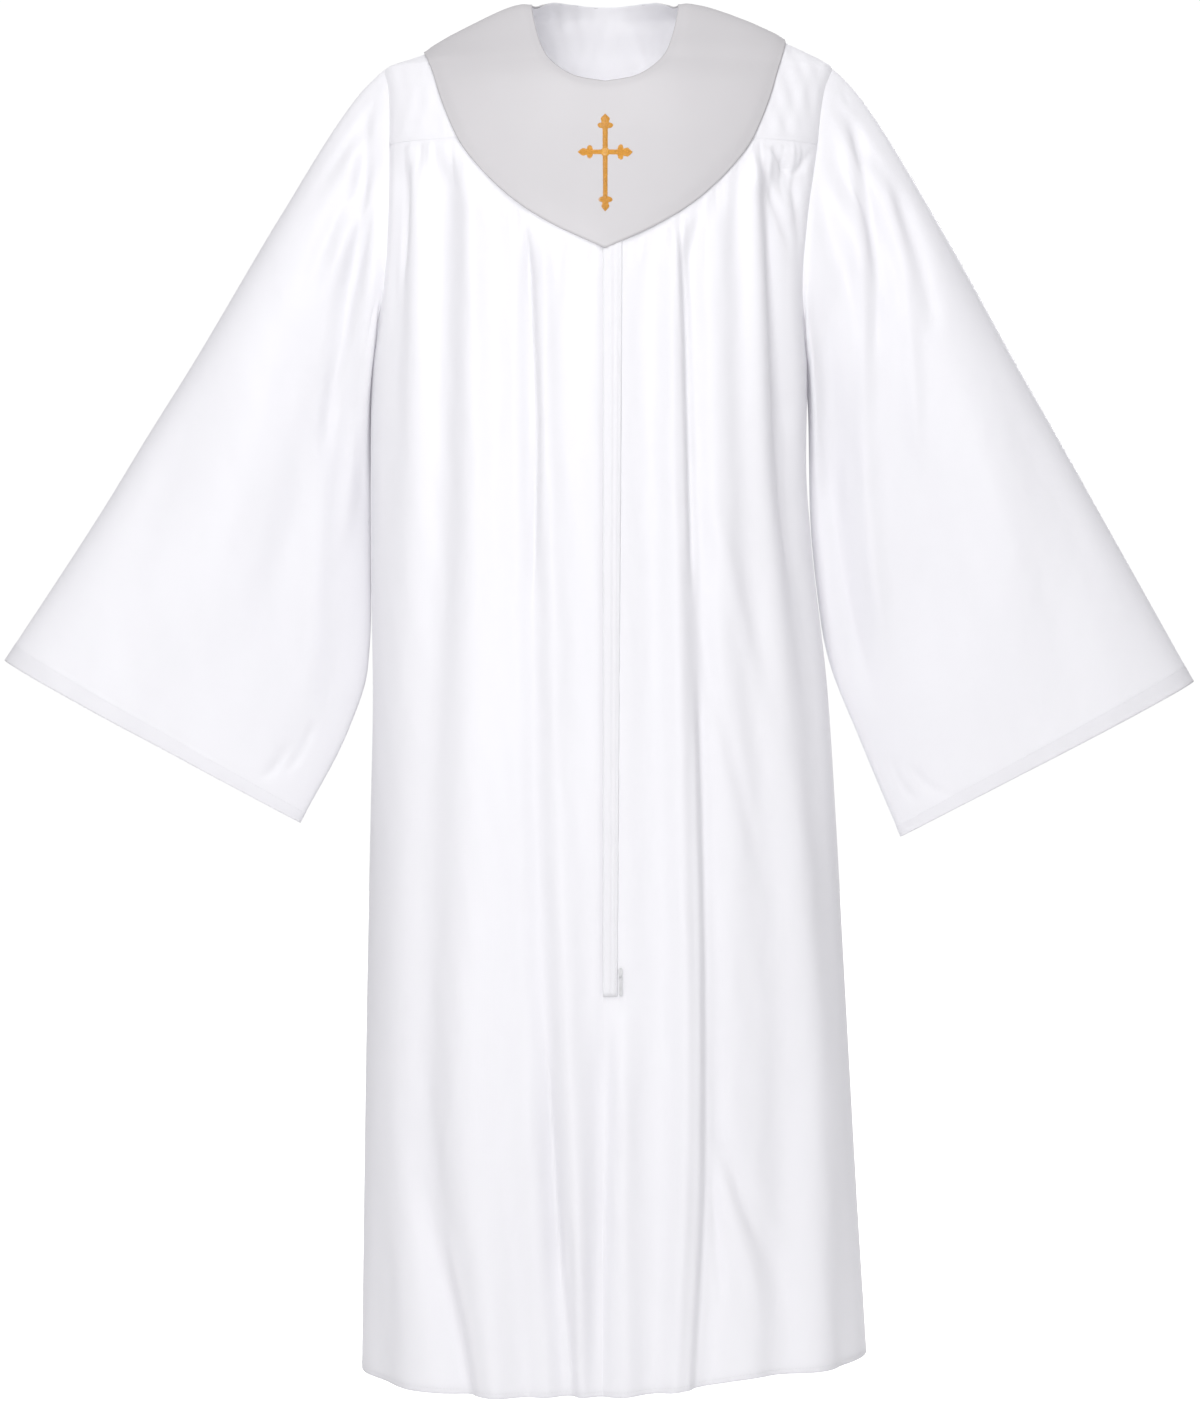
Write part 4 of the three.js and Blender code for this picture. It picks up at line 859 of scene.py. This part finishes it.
def sleeve(side, columns=190):
    around = (1 - np.cos(np.linspace(0, math.pi, columns // 2 + 1))) / 2
    s = np.concatenate([around, 2 - around[1:-1][::-1]])
    outer = spaced((0, 0.12, 1 - TURNING / SLEEVE_LENGTH, 1), (26, 96, 12))
    turned = [(1.0004, WALL - 0.45), (0.9994, WALL - 0.9), (0.992, WALL - 1.1),
              (1 - CUFF_TURNED / SLEEVE_LENGTH, WALL - 1.1)]
    rows = np.array([(t, WALL) for t in outer] + turned)
    t = rows[:, :1] + 0 * s
    points = sleeve_point(side, s[None, :] + 0 * t, t, rows[:, 1:] + 0 * s)
    node = f"sleeve_{SIDES[side]}"
    return dress(grid_object(f"{node}_cloth", points, ROBE, closed=True, flip=side < 0), node)


# Collar

def collar_lines(count_front=64, count_back=52):
    """Across the collar at each place round it: x and root of the drop at the neck and at the edge."""
    def line(edge, face, count, side):
        around = np.linspace(0, 1, count)
        x = side * curve(edge[face]["round"], edge[face]["x"])(around)
        drop = shoulder_z(x) - curve(edge[face]["round"], edge[face]["z"])(around)
        drop = drop - drop[-1] * ease(0.7, 1, around)
        return x, -face * np.sqrt(np.maximum(drop, 0))

    def quarter(face, count, side):
        return np.stack([*line(NECK_EDGE, face, count, side), *line(COLLAR_EDGE, face, count, side)], -1)

    ring = [quarter(FRONT, count_front, 1), quarter(BACK, count_back, 1)[::-1][1:],
            quarter(BACK, count_back, -1)[1:], quarter(FRONT, count_front, -1)[::-1][1:-1]]
    return np.concatenate(ring)


def collar_lift(across):
    """The collar stands clear of the robe and comes down to it at both edges."""
    neck_roll = -2.1 * np.exp(-(across / 0.05) ** 2)
    edge_roll = -1.5 * np.exp(-((1 - across) / 0.06) ** 2)
    return COLLAR_TOP + neck_roll + edge_roll


def collar():
    lines = collar_lines()
    share = spaced((0, 0.12, 0.88, 1), (9, 26, 9))[:, None]
    x = mix(lines[:, 0], lines[:, 2], share)
    root = mix(lines[:, 1], lines[:, 3], share)
    normal = -outward(over_shoulder, x, root, 0.4, 0.04)
    z = shoulder_z(x) - root * root
    soft = 0.28 * slow[FRONT](x * 0.8, z * 1.7) * ease(0, 0.15, share) * (1 - ease(0.85, 1, share))
    points = over_shoulder(x, root) + normal * (collar_lift(share) + soft)[..., None]
    piece = grid_object("collar_cloth", points, COLLAR, closed=True, flip=True)
    thicken(piece, COLLAR_THICK)
    return dress(piece, "collar")


def collar_point(x, z, lift=0.0):
    """A point on the collar's outer side in front, by its place in the front view."""
    on_form = form_point(x, z, FRONT)
    normal = outward(lambda a, b: form_point(a, b, FRONT), x, z, 0.5, 0.5)
    return on_form + normal * (COLLAR_TOP + lift)[..., None]


# The embroidered cross, in satin stitch: threads side by side across each arm

def cross_arm(name, length, turn, per_thread=4, pitch=0.42, across_count=11):
    tip = curve(length - CROSS_TIP["from_end"][::-1], CROSS_TIP["half"][::-1])
    count = int(length / pitch) * per_thread
    along = np.linspace(0, length, count)[:, None]
    widths = np.where(along < length - CROSS_TIP["from_end"][0], CROSS_BAR, tip(along))
    phase = along / pitch * 2 * np.pi
    draw = np.random.default_rng(turn + 5)
    ragged = np.repeat(draw.uniform(-0.16, 0.16, count // per_thread + 1), per_thread)[:count, None]
    across = np.linspace(-1, 1, across_count)[None, :]
    thread = 0.5 + 0.5 * np.cos(phase + 0.6 * across)
    dome = np.sqrt(np.clip(1 - across ** 2, 0, 1))
    height = -0.35 + dome * (0.95 + 0.34 * thread) + 0.1 * thread
    offset = across * (widths + ragged * np.minimum(widths / 3, 1))
    angle = math.radians(turn)
    x = offset * math.cos(angle) + along * math.sin(angle)
    z = CROSS_CENTRE_Z + along * math.cos(angle) - offset * math.sin(angle)
    points = collar_point(x, z, height)
    return grid_object(f"cross_{name}", points, GOLD, flip=True)


def cross_boss(rings=12, around=40):
    """The round of stitches over the crossing."""
    radius = np.linspace(0, 4.2, rings)[:, None]
    angle = np.linspace(0, 2 * np.pi, around, endpoint=False)[None, :]
    thread = 0.5 + 0.5 * np.cos(angle * 14)
    height = 1.15 * np.sqrt(np.clip(1 - (radius / 4.25) ** 2, 0, 1)) * (1 + 0.12 * thread) + 0.25
    points = collar_point(radius * np.cos(angle), CROSS_CENTRE_Z + radius * np.sin(angle), height)
    return grid_object("cross_boss", points, GOLD, closed=True, flip=True)


def join(pieces, name):
    bpy.ops.object.select_all(action="DESELECT")
    for piece in pieces:
        piece.select_set(True)
    bpy.context.view_layer.objects.active = pieces[0]
    bpy.ops.object.join()
    pieces[0].name = name
    pieces[0].data.name = name
    return pieces[0]


def cross():
    arms = [cross_arm(name, length, turn) for name, length, turn in CROSS_ARMS]
    piece = join([*arms, cross_boss()], "cross_embroidery")
    return dress(piece, "cross")


# The zip's lap and its stitches

def lap_surface(x, z):
    point = form_point(x, z, FRONT)
    point[..., 1] -= fold_out(x, z, FRONT)
    return point


def lap_point(share, z, lift):
    down = (z - LAP_HEAD_Z) / (LAP_FOOT_Z - LAP_HEAD_Z)
    x = CENTRE_X + share * mix(LAP_WIDE["top"], LAP_WIDE["foot"], down)
    normal = outward(lap_surface, x, z, 0.5, 1)
    return lap_surface(x, z) + normal * lift[..., None]


def zip_lap():
    share = np.concatenate([[0, 0.02], np.linspace(0.06, 0.94, 17), [0.98, 1.0]])[None, :]
    top_x = CENTRE_X + share * LAP_WIDE["top"]
    top = shoulder_z(top_x) - collar_drop[FRONT](np.abs(top_x))
    z = mix(top + 6, LAP_FOOT_Z, np.linspace(0, 1, 150)[:, None])
    bands = 0.55 * np.exp(-((share - 0.42) / 0.09) ** 2) + 0.5 * np.exp(-((share - 0.72) / 0.07) ** 2)
    edge = 0.25 * np.exp(-((share - 0.93) / 0.05) ** 2) - 0.8 * np.exp(-(share / 0.05) ** 2)
    edge = edge - 0.8 * np.exp(-((share - 1) / 0.04) ** 2)
    ripple = 0.16 * np.sin(z / 9.0 + 3 * share) * share * (1 - ease(0.8, 1, share))
    wander = 0.25 * fine[FRONT](z * 0.4, z)
    lift = LAP_TOP + bands + edge + ripple + wander * share
    points = lap_point(share + 0 * z, z, lift)
    piece = grid_object("zip_lap_cloth", points, ROBE, flip=True)
    thicken(piece, LAP_THICK)
    return dress(piece, "zip_lap")


def stitches(name, places, forwards, normals, length=2.4, width=0.42, height=0.3):
    """Short threads, each a low ridge of four sides, along a line of places in millimetres."""
    side = unit(np.cross(forwards, normals))
    offsets = [(-length / 2, 0, 0.0), (-length / 4, -width, 0.35), (-length / 4, width, 0.35),
               (-length / 4, 0, 1.0), (length / 4, -width, 0.35), (length / 4, width, 0.35),
               (length / 4, 0, 1.0), (length / 2, 0, 0.0)]
    vertices = np.stack([places + forwards * a + side * b / 2 + normals * c * height
                         for a, b, c in offsets], 1)
    faces = [(0, 3, 1), (0, 2, 3), (1, 3, 6, 4), (3, 2, 5, 6), (4, 6, 7), (6, 5, 7),
             (0, 1, 2), (1, 4, 5, 2), (4, 7, 5)]
    mesh = bpy.data.meshes.new(name)
    listed = [tuple(8 * i + k for k in face) for i in range(len(places)) for face in faces]
    mesh.from_pydata((vertices.reshape(-1, 3) * MM).tolist(), [], listed)
    mesh.update()
    made = linked(name, mesh, STITCH)
    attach(made, "robe")
    return made


def stitch_row(name, at, lift, start, end, pitch=STITCH_PITCH, **thread):
    """Stitches along at(u, lift), evenly spaced over the line from u = start to u = end."""
    u = np.linspace(start, end, 1200)
    run = np.concatenate([[0], np.cumsum(np.linalg.norm(np.diff(at(u, lift), axis=0), axis=-1))])
    count = int(run[-1] / pitch)
    middle = np.interp((np.arange(count) + 0.5) * run[-1] / count, run, u)
    small = (end - start) / 4000
    forwards = unit(at(middle + small, lift) - at(middle - small, lift))
    places = at(middle, lift)
    return stitches(name, places, forwards, unit(at(middle, lift + 1) - places), **thread)


def hem_stitches(node):
    face, first, last = PANELS[node][:3]
    z = HEM_Z + HEM_STITCH
    start, end = (float(edge(np.array([z]))[0]) for edge in (first, last))

    def at(degrees, lift):
        return body_point(degrees, np.full_like(degrees, z), np.full_like(degrees, lift), face)

    return stitch_row(f"hem_stitches_{node.split('_')[-1]}", at, WALL, start, end)


def cuff_stitches(side):
    t = 1 - CUFF_STITCH / SLEEVE_LENGTH

    def at(s, lift):
        return sleeve_point(side, s, np.full_like(s, t), np.full_like(s, lift))

    return stitch_row(f"cuff_stitches_{SIDES[side]}", at, WALL, 0.004, 1.996)


def lap_stitches():
    def at(z, lift):
        return lap_point(np.full_like(z, LAP_STITCH), z, np.full_like(z, lift))

    return stitch_row("lap_stitches", at, LAP_TOP + 0.35, LAP_HEAD_Z - 12, LAP_FOOT_Z + 4, 2.8,
                      length=2.1, width=0.34, height=0.22)


# Camera, light and floor

def camera():
    data = bpy.data.cameras.new("camera")
    data.lens = 95.9
    data.sensor_width = 36
    made = linked("camera", data)
    made.location = (-0.0047, -3.5, -0.6458)
    made.rotation_euler = (math.radians(90), 0, 0)
    bpy.context.scene.camera = made


def soft_light(name, place, aim, size, power):
    data = bpy.data.lights.new(name, "AREA")
    data.size = size
    data.energy = power
    made = linked(name, data)
    made.location = place
    made.rotation_euler = (Vector(aim) - Vector(place)).to_track_quat("-Z", "Y").to_euler()
    made.visible_camera = False


def studio():
    world = bpy.data.worlds.new("studio")
    world.use_nodes = True
    nodes, links = world.node_tree.nodes, world.node_tree.links
    fill = nodes["Background"]
    put(fill, {"Color": (0.99, 0.985, 1, 1), "Strength": 0.55})
    white = nodes.new("ShaderNodeBackground")
    put(white, {"Color": (1, 1, 1, 1), "Strength": 1.02})
    rays = nodes.new("ShaderNodeLightPath")
    chosen = nodes.new("ShaderNodeMixShader")
    links.new(rays.outputs["Is Camera Ray"], chosen.inputs[0])
    links.new(fill.outputs[0], chosen.inputs[1])
    links.new(white.outputs[0], chosen.inputs[2])
    links.new(chosen.outputs[0], nodes["World Output"].inputs["Surface"])
    bpy.context.scene.world = world
    soft_light("key", (-0.38, -2.35, 0.05), (0, 0, -0.62), 0.8, 26.3)
    soft_light("top", (0.0, -1.1, 1.5), (0, 0, -0.05), 0.7, 11)
    soft_light("neck", (0, 0, -0.2), (0, 0.06, 0), 0.14, 0.09)
    soft_light("rear", (1.1, 2.8, 0.5), (0, 0, -0.6), 1.0, 38)
    bpy.context.scene.view_settings.view_transform = "Standard"


def floor():
    size = 12.0
    level = HEM_Z * MM - 0.16
    corners = [(-size, -size), (size, -size), (size, size), (-size, size)]
    mesh = bpy.data.meshes.new("floor")
    mesh.from_pydata([(x, y, level) for x, y in corners], [], [(0, 1, 2, 3)])
    material, nodes, links, shader = node_material("pale floor")
    put(shader, {"Base Color": (0.9, 0.9, 0.9, 1), "Roughness": 0.9, "Emission Color": (1, 1, 1, 1)})
    rays = nodes.new("ShaderNodeLightPath")
    links.new(rays.outputs["Is Camera Ray"], shader.inputs["Emission Strength"])
    made = linked("floor", mesh, material)


def finish_zip():
    for node in ("zip_slider", "zip_pull"):
        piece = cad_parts[node]
        piece.data.materials.clear()
        piece.data.materials.append(METAL)


camera()
studio()
floor()
front_left, front_right, back = [body_panel(node) for node in PANELS]
yoke_left, yoke_right, yoke_rear = yoke_front(1), yoke_front(-1), yoke_back()
sleeve_left, sleeve_right = sleeve(1), sleeve(-1)
collar_piece = collar()
cross_piece = cross()
lap = zip_lap()
finish_zip()
hems = [hem_stitches(node) for node in PANELS]
cuffs = {side: cuff_stitches(side) for side in (1, -1)}
lap_threads = lap_stitches()
